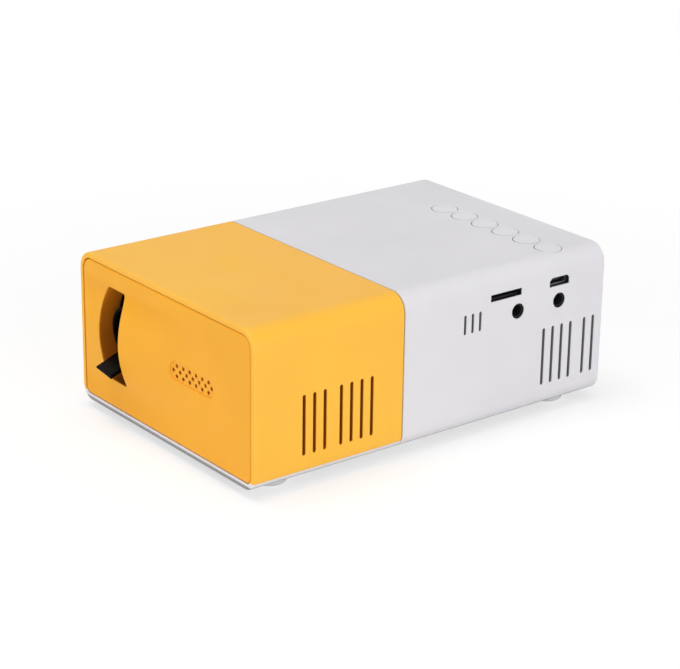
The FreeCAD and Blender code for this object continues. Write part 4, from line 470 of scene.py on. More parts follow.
def metal(name, base, roughness, stretch, line=0.0002, depth=0.000004):
    """Bare metal: fine lines drawn out along one direction, with a faint tarnish."""
    recipe = Recipe(name)
    lines = recipe.noise(line, detail=3.0, place=recipe.stretched(stretch))
    tarnish = recipe.noise(0.006, detail=4.0)
    tarnished = recipe.ramp(tarnish, 0, 1, 0.35, 0.7)
    recipe.set(Base_Color=recipe.mix(tarnished, base, shade(base, 0.82)), Metallic=1.0,
               Roughness=recipe.ramp(lines, roughness - 0.08, roughness + 0.1))
    recipe.bump(lines, depth)
    return recipe.material


def dress(node_names, material):
    """Give CAD nodes a finish in place of their plain one."""
    for name in node_names:
        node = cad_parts[name]
        for slot in node.material_slots:
            slot.material = material
        if not node.material_slots:
            raise RuntimeError(name + " has no material slot")


# ---- Front panel ----

# Steps of the panel's outlines and of the nets that fill its front, its recess and its back.
OUTLINE_STEP = 0.0006
FINE_STEP = 0.0003
RECESS_STEP = 0.0004
BACK_STEP = 0.002
HOLE_POINTS = 24
WALL_RINGS = 12
LIP_SLOPE = 0.0015

# The mesh attribute "deep": 0 on the front, 1 at the back of the walls and holes.
# It sets how much painted shade the window's walls, the grille's recess and its holes get.
LIP_DEEP = 0.1
RECESS_DEEP = 0.04
HOLE_DEEP = (0.2, 1.0)
FULL_WALL_DEEP = 0.16
BACK_BLUR = 0.0004

# Where the two folds' painted shade fades, as heights over the feet and distances right of the
# middle.
UPPER_FOLD_EDGE = (0.0404, 0.0424)
UPPER_FOLD_FADE = (0.0330, 0.0404)
UPPER_FOLD_SIDE = (-0.0080, 0.0150)
LOWER_FOLD_EDGE = (0.0085, 0.0140)
LOWER_FOLD_SIDE = (-0.0180, 0.0120)


def lip_place(shape):
    """Where the window's lip stands, along X."""
    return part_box("front_panel")[0].x + shape.lip_distance


def front_place(shape):
    """Where the panel's flat front stands, along Y."""
    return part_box("front_panel")[1].y - shape.tunnel_depth


def grille_place(shape):
    """The middle of the grille, along X and Z."""
    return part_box("front_panel")[1].x - shape.grille_side, shape.grille_level


def panel_outline(shape):
    """The panel's outline: a rectangle with round corners, whose lower ones are cut level."""
    low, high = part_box("front_panel")
    left = low.x + shape.seam
    right = high.x - shape.seam
    ceiling = high.z - shape.seam
    top = shape.top_radius
    bottom = shape.bottom_radius
    start = math.degrees(math.asin((bottom - shape.bottom_cut) / bottom))
    bottom_centre = low.z - shape.bottom_cut + bottom
    return np.vstack([
        arc_points((right - bottom, bottom_centre), bottom, -start, 0),
        arc_points((right - top, ceiling - top), top, 0, 90),
        arc_points((left + top, ceiling - top), top, 90, 180),
        arc_points((left + bottom, bottom_centre), bottom, 180, 180 + start),
    ])


def window_outline(shape):
    """The lens window: a circle's arc on the left, straight top, bottom and lip."""
    lip = lip_place(shape)
    radius = shape.window_radius
    centre = (lip - shape.window_width + radius, shape.window_level)
    up = math.degrees(math.asin((shape.window_high - centre[1]) / radius))
    down = math.degrees(math.asin((centre[1] - shape.window_low) / radius))
    left = arc_points(centre, radius, 180 - up, 180 + down)
    return np.vstack([left, [(lip, shape.window_low), (lip, shape.window_high)]])


def swell(points, shape):
    """How far the front stands out: a parabola across the band's height, times the square of the
    way left to the swell's end, times an S-shaped rise over the window's right half. Half the sum
    of the parabola and the root of its square plus a small square gives it a soft foot."""
    lip = lip_place(shape)
    half = (shape.window_high - shape.window_low) / 2
    middle = (shape.window_high + shape.window_low) / 2
    fade = np.clip(1 - (points[:, 0] - lip) / shape.crown_end, 0, 1)
    half_window = shape.window_width / 2
    enter = eased((points[:, 0] - lip + half_window) / half_window)
    arch = shape.crown * (1 - ((points[:, 1] - middle) / half) ** 2)
    soft = shape.foot_softness
    risen = (arch + np.sqrt(arch ** 2 + soft ** 2)) / 2
    return risen * fade ** 2 * enter


def eased(value):
    """0 below 0, 1 above 1, and a smooth S between them."""
    held = np.clip(value, 0, 1)
    return held * held * (3 - 2 * held)


def cove(points, shape):
    """How far the front lies back under the upper band: an S-shaped step down, which comes back
    slowly below, times an S-shaped fade at its two ends, four times as short on the left."""
    below = shape.cove_top - points[:, 1]
    step = eased(below / shape.cove_drop)
    return_slope = 1 - eased((below - shape.cove_drop) / shape.cove_reach)
    right = eased((shape.cove_right - points[:, 0]) / shape.cove_side)
    left = eased((points[:, 0] + shape.cove_left) / (shape.cove_side / 4))
    return shape.cove * (step * return_slope) * right * left


def rolled_edge(loop, outward, radius, surface, steps=5):
    """Rings over a rounded edge: a quarter circle from the front surface down to the wall."""
    rings = []
    start = loop - outward * radius
    depth = surface(start)
    for turn in np.linspace(0, math.pi / 2, steps):
        flat = loop - outward * radius * (1 - math.sin(turn))
        rings.append((flat, depth + radius * (1 - math.cos(turn))))
    return rings


def build_front_panel():
    """The front panel as one closed skin: a filled front and back, rolled edges and walls."""
    shape = settings().panel
    outer = even_loop(panel_outline(shape), OUTLINE_STEP)
    window = even_loop(window_outline(shape), FINE_STEP)
    window = soften_corners(window, shape.window_corner, FINE_STEP)
    recess = pill_points(grille_place(shape), shape.grille_length, shape.grille_height)
    recess = even_loop(recess, FINE_STEP)
    last_angle = 360 - 360 / HOLE_POINTS
    holes = [arc_points(place, shape.hole_radius, 0, last_angle, HOLE_POINTS)
             for place in grille_holes(shape)]

    def front(points):
        return cove(points, shape) - swell(points, shape)

    def grille_floor(points):
        return front(points) + shape.grille_depth

    def back(points):
        return np.full(len(points), shape.thickness)

    parts = PanelParts(front_place(shape))
    window_in = -loop_normals(window)
    outer_rings = rolled_edge(outer, loop_normals(outer), shape.edge_radius, front)
    outer_rings.append((outer, back(outer)))
    parts.band(outer_rings)

    window_rings = rolled_edge(window, window_in, shape.window_edge, front)
    rolled = len(window_rings)
    behind = np.clip((lip_place(shape) - window[:, 0]) / LIP_SLOPE, 0, 1)
    edge_depth = window_rings[-1][1]
    wall_back = shape.thickness + (shape.tunnel_depth - shape.thickness) * behind
    stations = np.linspace(0, 1, WALL_RINGS + 1)[1:]
    window_rings += [(window, edge_depth + (wall_back - edge_depth) * reach) for reach in stations]
    wall = window - window_in * shape.tunnel_wall
    window_rings += [(wall, wall_back), (wall, back(wall))]
    wall_deep = LIP_DEEP + (1 - LIP_DEEP) * stations
    parts.band(window_rings, [*np.linspace(0, LIP_DEEP, rolled), *wall_deep, 1.0, 1.0])

    recess_rings = rolled_edge(recess, -loop_normals(recess), shape.grille_edge, front)
    recess_rings.append((recess, grille_floor(recess)))
    parts.band(recess_rings, np.linspace(0, RECESS_DEEP, len(recess_rings)))
    for hole in holes:
        parts.band([(hole, grille_floor(hole)), (hole, back(hole))], HOLE_DEEP)

    inner_loops = [window_rings[0][0], recess_rings[0][0]]
    parts.sheet(fill_area(outer_rings[0][0], inner_loops, OUTLINE_STEP), front)
    parts.sheet(fill_area(recess, holes, RECESS_STEP), grille_floor)
    parts.sheet(fill_area(outer, [wall, *holes], BACK_STEP), back)
    points = np.vstack(parts.stack)
    return make_piece("front_panel_skin", points, parts.faces, np.concatenate(parts.deep))


def panel_folds(recipe, axes):
    """1 where the two shallow folds over and under the swell get painted shade, fading out to the
    right: each is a product of straight ramps over height and side distance."""
    across, height = axes["X"], axes["Z"]
    upper = recipe.product(recipe.ramp(height, 1, 0, *UPPER_FOLD_EDGE),
                           recipe.ramp(height, 0, 1, *UPPER_FOLD_FADE),
                           recipe.ramp(across, 1, 0, *UPPER_FOLD_SIDE))
    lower = recipe.product(recipe.ramp(height, 1, 0, *LOWER_FOLD_EDGE),
                           recipe.ramp(across, 1, 0, *LOWER_FOLD_SIDE))
    return recipe.sum(upper, lower, "MAXIMUM")


def panel_finish_and_shade(name):
    """The panel's plastic with painted shade: darker in two folds, a deep orange on the window's
    walls, darker low and lighter high, and black at their back.
    """
    shape = settings().panel
    colours = settings().colours
    recipe = moulded_recipe(name, colours.yellow_panel, 0.5, specular=0.35)
    axes = recipe.axes()
    # Painted shade in the two folds over and under the swell.
    outside = recipe.mix(panel_folds(recipe, axes), recipe.colour_now(), colours.panel_fold_shade)
    # Painted light and shade on the window's walls: darker near the bottom, lighter near the top.
    height = recipe.ramp(axes["Z"], 0, 1, shape.window_low, shape.window_high)
    inner = recipe.mix(height, shade(colours.window_wall_shade, 0.6), shade(colours.window_wall_shade, 1.7))
    # The deeper a wall lies, the more of that painted shade it gets.
    deep = recipe.node("Attribute", {"attribute_name": "deep"}).outputs["Fac"]
    wall = recipe.mix(recipe.ramp(deep, 0, 1, 0.0, FULL_WALL_DEEP), outside, inner)
    # Painted black shade from a set depth behind the front.
    black_shade_from = front_place(shape) + shape.black_shade_depth
    behind = recipe.ramp(axes["Y"], 0, 1, black_shade_from - BACK_BLUR, black_shade_from)
    recipe.set(Base_Color=recipe.mix(behind, wall, colours.window_back_shade))
    return recipe.material


def grille_holes(shape):
    """Three rows of holes; the outer rows have one hole fewer and stand between the others."""
    middle = grille_place(shape)
    places = []
    for row in (-1, 0, 1):
        count = shape.middle_row - abs(row)
        across = (np.arange(count) - (count - 1) / 2) * shape.hole_pitch
        places += [(middle[0] + x, middle[1] + row * shape.row_pitch) for x in across]
    return places


class PanelParts:
    """Collects bands and sheets given as flat points and depths behind the flat front."""

    def __init__(self, flat_front):
        self.flat_front = flat_front
        self.stack = []
        self.deep = []
        self.faces = []
        self.count = 0

    def add(self, flat, depth, deep=0.0):
        solid = np.stack([flat[:, 0], self.flat_front + depth, flat[:, 1]], axis=1)
        self.stack.append(solid)
        self.deep.append(np.broadcast_to(deep, len(solid)))
        self.count += len(solid)

    def band(self, rings, deep=0.0):
        """A band of rings; deep is one number, or one a ring."""
        self.faces.append(band_faces(len(rings), len(rings[0][0]), self.count))
        for (flat, depth), ring_deep in zip(rings, np.broadcast_to(deep, len(rings))):
            self.add(flat, depth, ring_deep)

    def sheet(self, filled, depth_of):
        flat, triangles = filled
        self.faces.append(triangles + self.count)
        self.add(flat, depth_of(flat))


# ---- Focus lever ----

# Steps of the lever's section and rings, and the angle at which its sloping underside begins.
SECTION_STEP = 0.0001
CORNER_POINTS = 7
END_RINGS = 6
STRAIGHT_RINGS = 24
UNDERSIDE_ANGLE = 262


def build_focus_lever():
    """The lever's tab: a wedge with round corners carried along the slope from root to tip and
    drawn in at both ends on a quarter circle. The wedge's thickness grows evenly from its left
    side to its right side, and its top is flat."""
    shape = settings().lever
    low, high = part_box("focus_lever")
    half_width = (high.x - low.x) / 2
    half_height = shape.thickness / 2
    corner = shape.corner
    bottom_left = half_height - shape.thin_side
    section = np.vstack([
        arc_points((x, z), corner, start, end, CORNER_POINTS) for x, z, start, end in (
            (half_width - corner, half_height - corner, 0, 90),
            (corner - half_width, half_height - corner, 90, 180),
            (corner - half_width, bottom_left + corner, 180, UNDERSIDE_ANGLE),
            (half_width - corner, corner - half_height, UNDERSIDE_ANGLE, 360))])
    section = even_loop(section, SECTION_STEP)
    normals = loop_normals(section)
    turns = np.linspace(0, math.pi / 2, END_RINGS)
    rolled = shape.end * (1 - np.sin(turns))
    straight = np.linspace(low.y + shape.end, high.y - shape.end, STRAIGHT_RINGS)
    along = np.unique(np.concatenate([low.y + rolled, straight, high.y - rolled]).round(9))
    into = np.clip(1 - np.minimum(along - low.y, high.y - along) / shape.end, 0, 1)
    inset = np.minimum(shape.end, corner * 0.95) * (1 - np.sqrt(1 - into ** 2))
    slope = (along - low.y) / (high.y - low.y)
    level = low.z + half_height + slope * (high.z - low.z - shape.thickness)
    flat = section[None, :, :] - normals[None, :, :] * inset[:, None, None]
    x = (low.x + high.x) / 2 + shape.side_shift + flat[:, :, 0]
    y = np.broadcast_to(along[:, None], x.shape)
    z = level[:, None] + flat[:, :, 1]
    points = np.stack([x, y, z], axis=-1).reshape(-1, 3)
    count = len(section)
    here = np.arange(count)
    after = (here + 1) % count
    ends = np.array([points[:count].mean(axis=0), points[-count:].mean(axis=0)])
    first_cap = np.stack([here, after, np.full(count, len(points))], axis=1)
    last = len(points) - count
    last_cap = np.stack([last + here, last + after, np.full(count, len(points) + 1)], axis=1)
    faces = [band_faces(len(along), count), first_cap, last_cap]
    return make_piece("focus_lever_tab", np.vstack([points, ends]), faces)


# ---- Operators ----

# Each lamp's place and the length of its side, in metres.
LAMPS = {
    "side_lamp": ((0.60, -0.02, 0.16), 0.35),
    "front_lamp": ((-0.05, -0.65, 0.05), 0.35),
    "top_lamp": ((-0.08, -0.10, 0.72), 0.4),
}
LAMP_AIM = Vector((0, 0, 0.024))

# The floor, and its colour where it is seen directly: grey near the object, so that its shadow
# shows, and black far away, where the floor's own glow makes it white.
FLOOR_HALF = 3.0
FLOOR_CELLS = 12
PAPER_NEAR = (0.45, 0.45, 0.45)
PAPER_FAR = (0.0, 0.0, 0.0)


class PROJECTOR_OT_stage(Operator):
    """Camera, lamps, white surroundings and a floor that keeps the shadow"""
    bl_idname = "projector.stage"
    bl_label = "Stage"

    def execute(self, context):
        stage = settings().stage
        context.scene.view_settings.view_transform = "Standard"
        make_camera(stage)
        make_world(stage)
        make_floor(stage)
        for name, (place, size) in LAMPS.items():
            lamp(name, getattr(stage, name), place, size)
        return {"FINISHED"}


def make_camera(stage):
    """The camera on a sphere around its aim, rolled about its own axis."""
    level = math.cos(stage.rise)
    back = Vector((math.sin(stage.turn) * level, -math.cos(stage.turn) * level,
                   math.sin(stage.rise)))
    right = Vector((math.cos(stage.turn), math.sin(stage.turn), 0))
    up = back.cross(right)
    rolled_right = right * math.cos(stage.roll) + up * math.sin(stage.roll)
    rolled_up = up * math.cos(stage.roll) - right * math.sin(stage.roll)
    place = Vector(stage.aim) + back * stage.distance
    data = bpy.data.cameras.new("camera")
    data.sensor_fit = "HORIZONTAL"
    data.sensor_width = 36.0
    data.lens = stage.focal
    data.clip_start = 0.01
    camera = bpy.data.objects.new("camera", data)
    turn = Matrix((rolled_right, rolled_up, back)).transposed().to_4x4()
    camera.matrix_world = Matrix.Translation(place) @ turn
    bpy.context.scene.collection.objects.link(camera)
    bpy.context.scene.camera = camera


def seen_directly(tree):
    """1 for rays from the camera, mirrors and glass, and 0 for the light that lights the object."""
    path = tree.nodes.new("ShaderNodeLightPath")
    total = path.outputs["Is Camera Ray"]
    for name in ("Is Glossy Ray", "Is Transmission Ray"):
        either = tree.nodes.new("ShaderNodeMath")
        either.operation = "MAXIMUM"
        tree.links.new(total, either.inputs[0])
        tree.links.new(path.outputs[name], either.inputs[1])
        total = either.outputs[0]
    return total


def make_world(stage):
    """Even white light: full strength where it is seen directly, and weaker on the object."""
    world = bpy.data.worlds.new("surroundings")
    world.use_nodes = True
    tree = world.node_tree
    strength = tree.nodes.new("ShaderNodeMapRange")
    strength.inputs["To Min"].default_value = stage.sky
    strength.inputs["To Max"].default_value = 1.0
    tree.links.new(seen_directly(tree), strength.inputs["Value"])
    background = tree.nodes["Background"]
    background.inputs["Color"].default_value = (1, 1, 1, 1)
    tree.links.new(strength.outputs["Result"], background.inputs["Strength"])
    bpy.context.scene.world = world


def make_floor(stage):
    """A wide flat grid at the feet's level, whose colour is white where it is seen directly."""
    side = np.linspace(-FLOOR_HALF, FLOOR_HALF, FLOOR_CELLS + 1)
    x, y = np.meshgrid(side, side)
    points = np.stack([x, y, np.zeros_like(x)], axis=-1).reshape(-1, 3)
    corner = np.arange(FLOOR_CELLS)[:, None] * len(side) + np.arange(FLOOR_CELLS)
    faces = corner.reshape(-1, 1) + [0, 1, len(side) + 1, len(side)]
    floor = make_piece("floor", points, [faces])
    recipe = Recipe("floor_paper")
    pale = (stage.floor_shade,) * 3
    bounced = recipe.mix(recipe.noise(0.01), pale, shade(pale, 0.98))
    far = recipe.ramp(recipe.distance(), 0, 1, stage.floor_reach, stage.floor_reach * 2)
    seen = seen_directly(recipe.tree)
    paper = recipe.mix(far, PAPER_NEAR, PAPER_FAR)
    glow = recipe.ramp(far, stage.floor_lift, 1.0)
    recipe.set(Base_Color=recipe.mix(seen, bounced, paper), Emission_Color=(1.0, 1.0, 1.0, 1.0),
               Emission_Strength=recipe.product(seen, glow), Roughness=1.0,
               Specular_IOR_Level=0.0)
    floor.data.materials.append(recipe.material)


def lamp(name, watts, place, size):
    """A square soft lamp that faces the object's middle."""
    data = bpy.data.lights.new(name, "AREA")
    data.energy = watts
    data.size = size
    made = bpy.data.objects.new(name, data)
    made.location = place
    made.rotation_euler = (LAMP_AIM - Vector(place)).to_track_quat("-Z", "Y").to_euler()
    bpy.context.scene.collection.objects.link(made)


class PROJECTOR_OT_front_panel(Operator):
    """Front panel with its swollen band, lens window and speaker grille"""
    bl_idname = "projector.front_panel"
    bl_label = "Front panel"

    def execute(self, context):
        piece = build_front_panel()
        piece.data.materials.append(panel_finish_and_shade("yellow_panel_finish"))
        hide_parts("front_panel")
        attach(piece, "casing")
        return {"FINISHED"}


class PROJECTOR_OT_focus_lever(Operator):
    """Glossy black focus lever"""
    bl_idname = "projector.focus_lever"
    bl_label = "Focus lever"

    def execute(self, context):
        piece = build_focus_lever()
        black = shade(settings().colours.black_plastic, 0.2)
        finish = moulded("glossy_black", black, 0.3, grain=0.0006, depth=0.000003, specular=0.04)
        piece.data.materials.append(finish)
        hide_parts("focus_lever")
        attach(piece, "focus")
        return {"FINISHED"}


# The side wall's openings, as their lowest and highest y and z in metres: the vents' walls get
# painted shade and the sockets' mouths painted black shade.
YELLOW_VENTS = [((-0.0475, 0.008), (-0.0185, 0.030))]
WHITE_VENTS = [((0.0400, 0.008), (0.0640, 0.032)), ((0.0105, 0.0305), (0.0185, 0.0385))]
SOCKET_MOUTHS = [((0.0203, 0.0392), (0.0335, 0.0418)), ((0.0430, 0.0390), (0.0518, 0.0421)),
                 ((0.0282, 0.0315), (0.0348, 0.0378)), ((0.0440, 0.0315), (0.0508, 0.0378))]
WALL_DEPTH = 0.004
SKIN = 0.00025
# The jacks' own black plastic, also painted as shade in the sockets' mouths.
JACK_BLACK_AND_MOUTH_SHADE = (0.006, 0.006, 0.007)

# How far over the tray's underside its painted shade goes, and over the yellow cover's lower edge
# the tray's own colour.
TRAY_SHADE_BAND = (0.0009, 0.0014)
FOOT_BAND = (0.0007, 0.00075)


class PROJECTOR_OT_casing(Operator):
    """Plastic of the two covers, the tray and the back panel, and the rubber of the feet"""
    bl_idname = "projector.casing"
    bl_label = "Casing"

    def execute(self, context):
        colours = settings().colours
        yellow = slotted_cover("yellow_cover_finish", colours.yellow_cover, YELLOW_VENTS,
                               colours.yellow_vent_shade, 0.4, foot=colours.white_tray)
        dress(["front_cover"], yellow)
        white = slotted_cover("white_cover_finish", colours.white_shell, WHITE_VENTS,
                              colours.white_vent_shade, 0.5, SOCKET_MOUTHS)
        dress(["rear_cover"], white)
        dress(["back_panel"], moulded("white_shell_finish", colours.white_shell, 0.5))
        tray = tray_finish_and_shade("white_tray_finish", colours.white_tray, colours.tray_underside_shade)
        dress(["bottom_tray"], tray)
        feet = ["foot_front_left", "foot_front_right", "foot_back_left", "foot_back_right"]
        rubber = moulded("rubber_finish", colours.rubber, 0.8, grain=0.0005, depth=0.00003,
                         specular=0.3)
        dress(feet, rubber)
        return {"FINISHED"}


def tray_finish_and_shade(name, base, under):
    """The tray's plastic, with painted shade on its underside and the lowest part of its rounding.
    """
    recipe = moulded_recipe(name, base, 0.55)
    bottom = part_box("bottom_tray")[0].z
    low = recipe.ramp(recipe.axes()["Z"], 1, 0, bottom + TRAY_SHADE_BAND[0], bottom + TRAY_SHADE_BAND[1])
    recipe.set(Base_Color=recipe.mix(low, recipe.colour_now(), under))
    return recipe.material


def slotted_cover(name, base, vents, vent_shade_colour, specular, mouths=(), foot=None):
    """Moulded plastic with painted shade on the walls of its vents and painted black shade in its
    sockets' mouths: a box test on Object coordinates that starts just under the outer skin of
    the side wall."""
    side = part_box("rear_cover")[1].x
    recipe = moulded_recipe(name, base, 0.5, specular=specular)
    colour_now = recipe.colour_now()
    for places, paint in ((vents, vent_shade_colour), (mouths, JACK_BLACK_AND_MOUTH_SHADE)):
        for low, high in places:
            mask = recipe.within((side - WALL_DEPTH, *low), (side - SKIN, *high))
            colour_now = recipe.mix(mask, colour_now, paint)
    if foot is not None:
        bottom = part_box("front_cover")[0].z
        edge = recipe.ramp(recipe.axes()["Z"], 1, 0, bottom + FOOT_BAND[0], bottom + FOOT_BAND[1])
        colour_now = recipe.mix(edge, colour_now, foot)
    recipe.set(Base_Color=colour_now)
    return recipe.material


# Painted shade on the keys' near rims: under the top, about the middle, and left of the casing's
# rounding.
RIM_DEPTH = (0.00009, 0.00002)
RIM_BLUR = 0.001
KEY_FLAT = (0.0365, 0.0370)


class PROJECTOR_OT_keys(Operator):
    """Key caps and the switches under them"""
    bl_idname = "projector.keys"
    bl_label = "Keys"

    def execute(self, context):
        keys = ["key_%d" % number for number in range(1, 7)]
        recipe = moulded_recipe("key_finish", settings().colours.white_key, 0.42, grain=0.0003)
        low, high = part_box("key_1")
        middle = (low.y + high.y) / 2
        axes = recipe.axes()
        # Painted shade on the keys' rims, only on their near half.
        rim = recipe.product(
            recipe.ramp(axes["Z"], 1, 0, high.z - RIM_DEPTH[0], high.z - RIM_DEPTH[1]),
            recipe.ramp(axes["Y"], 1, 0, middle - RIM_BLUR, middle + RIM_BLUR),
            recipe.ramp(axes["X"], 1, 0, *KEY_FLAT))
        recipe.set(Base_Color=recipe.mix(rim, recipe.colour_now(), settings().colours.key_rim))
        dress(keys, recipe.material)
        dress(["key_switches"], moulded("switch_finish", (0.02, 0.02, 0.022), 0.5))
        return {"FINISHED"}


class PROJECTOR_OT_optics(Operator):
    """Focus ring, lens tube, lenses and what holds them"""
    bl_idname = "projector.optics"
    bl_label = "Lens and focus"

    def execute(self, context):
        colours = settings().colours
        black = colours.black_plastic
        dark_grey = shade(colours.grey_plastic, 0.12)
        dress(["focus_ring", "lens_retaining_ring"], knurled("ring_finish", shade(black, 0.35)))
        dress(["lens_tube", "lens_spacer"],
              moulded("tube_finish", shade(black, 0.3), 0.6, specular=0.12))
        dress(["lens_mount"], moulded("mount_finish", dark_grey, 0.6, specular=0.15))
        violet = coated_glass("coated_glass", (0.35, 0.25, 0.6))
        dress(["front_lens", "middle_lens", "rear_lens"], violet)
        return {"FINISHED"}


KNURL_RIBS = 90.0


def lens_axis(node_name):
    """Where the lens axis passes a round node: the middle of its box, seen along Y."""
    low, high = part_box(node_name)
    return (low.x + high.x) / 2, 0, (low.z + high.z) / 2


def knurled(name, base):
    """Black plastic with fine ribs along the optical axis, spaced evenly around it."""
    recipe = Recipe(name)
    axes = recipe.axes(recipe.stretched((1, 1, 1), lens_axis("focus_ring")))
    around = recipe.sum(axes["X"], axes["Z"], "ARCTAN2")
    ribs = recipe.sum(recipe.product(around, KNURL_RIBS), 0.0, "SINE")
    grain = recipe.noise(0.0003, detail=3.0)
    recipe.set(Base_Color=recipe.mix(recipe.ramp(grain, 0, 1, 0.3, 0.7), base, shade(base, 1.6)),
               Roughness=recipe.ramp(grain, 0.45, 0.6), Specular_IOR_Level=0.06)
    relief = recipe.sum(recipe.ramp(ribs, 0, 1, -1, 1), recipe.product(grain, 0.15))
    recipe.bump(relief, 0.00006)
    return recipe.material


def coated_glass(name, tint):
    """Lens glass with a coating whose colour shows at a slant, and a little dust."""
    recipe = Recipe(name)
    slant = recipe.node("LayerWeight", Blend=0.35)
    dust = recipe.noise(0.0004, detail=5.0)
    recipe.set(Base_Color=recipe.mix(slant.outputs["Facing"], (0.97, 0.98, 1.0), tint),
               Roughness=recipe.ramp(dust, 0.0, 0.06, 0.6, 0.9), IOR=1.52, Transmission_Weight=1.0,
               Coat_Weight=0.6, Coat_Roughness=0.02, Coat_Tint=(0.75, 0.65, 1.0, 1.0))
    return recipe.material


class PROJECTOR_OT_sockets(Operator):
    """Card slot, USB, HDMI, jacks and the remote control's window"""
    bl_idname = "projector.sockets"
    bl_label = "Sockets"

    def execute(self, context):
        colours = settings().colours
        for name in ("micro_usb_socket", "hdmi_socket", "usb_socket"):
            dress([name], socket_finish(name))
        dark_nickel = shade(colours.nickel, 0.25)
        dress(["card_socket"], metal("card_socket_finish", dark_nickel, 0.5, (1, 8, 8)))
        dress(["headphone_jack", "av_jack"], moulded("jack_finish", JACK_BLACK_AND_MOUTH_SHADE, 0.6))
        dark_red = Recipe("remote_window_finish")
        cloud = dark_red.noise(0.004)
        dark_red.set(Base_Color=dark_red.mix(cloud, (0.05, 0.004, 0.004), (0.09, 0.008, 0.008)),
                     Roughness=dark_red.ramp(cloud, 0.06, 0.12), Coat_Weight=0.4,
                     Coat_Roughness=0.05)
        dress(["ir_window"], dark_red.material)
        return {"FINISHED"}


SHELL_WALL = 0.00045


def socket_finish(name):
    """Nickel outside and, between the shell's walls, the dark plastic of the contact tongue."""
    inner_low, inner_high = (Vector(corner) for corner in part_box(name))
    for axis in (1, 2) if name == "micro_usb_socket" else (0, 2):
        inner_low[axis] += SHELL_WALL
        inner_high[axis] -= SHELL_WALL
    recipe = Recipe(name + "_finish")
    tongue = recipe.within(inner_low, inner_high)
    lines = recipe.noise(0.00025, detail=3.0, place=recipe.stretched((1, 4, 4)))
    nickel = settings().colours.nickel
    recipe.set(Base_Color=recipe.mix(tongue, nickel, (0.012, 0.012, 0.014)),
               Metallic=recipe.ramp(tongue, 1.0, 0.0), Roughness=recipe.ramp(lines, 0.28, 0.46))
    recipe.bump(lines, 0.000004)
    return recipe.material


class PROJECTOR_OT_light_engine(Operator):
    """Light box, its glass, the display panel, the light source and its heat sink"""
    bl_idname = "projector.light_engine"
    bl_label = "Light engine"

    def execute(self, context):
        colours = settings().colours
        grey = moulded("light_box_finish", colours.grey_plastic, 0.6)
        dress(["light_box", "light_box_cover"], grey)
        dress(["front_fresnel", "rear_fresnel"], fresnel_sheet("fresnel_finish"))
        green_glass = coated_glass("heat_glass_finish", (0.6, 0.85, 0.75))
        dress(["heat_glass", "condenser_lens"], green_glass)
        dress(["lcd_panel"], display_panel("display_finish"))
        drawn = metal("aluminium_finish", colours.aluminium, 0.38, (8, 1, 1))
        dress(["heat_sink", "led_board"], drawn)
        glow = Recipe("light_source_finish")
        dots = glow.cells(0.0006)
        dotted = glow.ramp(dots, 0, 1, 0.0, 0.6)
        glow.set(Base_Color=glow.mix(dotted, (0.85, 0.62, 0.05), (0.95, 0.8, 0.2)),
                 Roughness=glow.ramp(dots, 0.2, 0.35), Coat_Weight=0.5, Coat_Roughness=0.05)
        dress(["led_chip"], glow.material)
        return {"FINISHED"}


RING_PITCH = 0.0004


def fresnel_sheet(name):
    """A clear sheet with fine rings around the optical axis."""
    recipe = Recipe(name)
    place = recipe.stretched((1, 0, 1), lens_axis("front_fresnel"))
    rings = recipe.sum(recipe.sum(recipe.distance(place), RING_PITCH, "DIVIDE"), 0.0, "FRACT")
    recipe.set(Base_Color=recipe.mix(rings, (0.9, 0.93, 0.95), (0.98, 0.99, 1.0)),
               Roughness=recipe.ramp(rings, 0.04, 0.12), IOR=1.49, Transmission_Weight=0.95)
    recipe.bump(rings, 0.00003)
    return recipe.material


def display_panel(name):
    """Dark display glass with a fine grid of picture cells."""
    recipe = Recipe(name)
    cells = recipe.node("TexBrick", {"offset": 0.0}, Vector=recipe.stretched((1, 1, 1)),
                        Scale=4000.0, Color1=(0.012, 0.014, 0.018, 1),
                        Color2=(0.016, 0.018, 0.022, 1), Mortar=(0.002, 0.002, 0.002, 1))
    recipe.set(Base_Color=cells.outputs["Color"], Coat_Weight=0.8, Coat_Roughness=0.02,
               Roughness=recipe.ramp(recipe.noise(0.01), 0.05, 0.1))
    return recipe.material


# Height of the capacitors' bare metal ends.
CAP_HEIGHT = 0.0004


class PROJECTOR_OT_electronics(Operator):
    """Main board with its chips, capacitors, receiver and flat cable"""
    bl_idname = "projector.electronics"
    bl_label = "Electronics"

    def execute(self, context):
        colours = settings().colours
        dress(["main_board"], circuit_board("board_finish"))
        chip_black = moulded("chip_finish", (0.016, 0.016, 0.018), 0.45, grain=0.0002)
        dress(["board_chips", "ir_receiver"], chip_black)
        sleeve = Recipe("capacitor_finish")
        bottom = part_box("capacitors")[0].z
        cap = sleeve.sum(sleeve.axes()["Z"], bottom + CAP_HEIGHT, "LESS_THAN")
        scuff = sleeve.noise(0.001, detail=4.0)
        sleeve.set(Base_Color=sleeve.mix(cap, (0.012, 0.02, 0.05), (0.6, 0.6, 0.62)),
                   Metallic=cap, Roughness=sleeve.ramp(scuff, 0.2, 0.4))
        dress(["capacitors"], sleeve.material)
        film = Recipe("ribbon_finish")
        tracks = film.node("TexWave", {"bands_direction": "X"}, Scale=600.0,
                           Vector=film.place).outputs["Fac"]
        film.set(Base_Color=film.mix(tracks, colours.ribbon, shade(colours.ribbon, 0.6)),
                 Roughness=film.ramp(film.noise(0.003), 0.25, 0.4))
        film.bump(tracks, 0.00001)
        dress(["lcd_ribbon"], film.material)
        return {"FINISHED"}


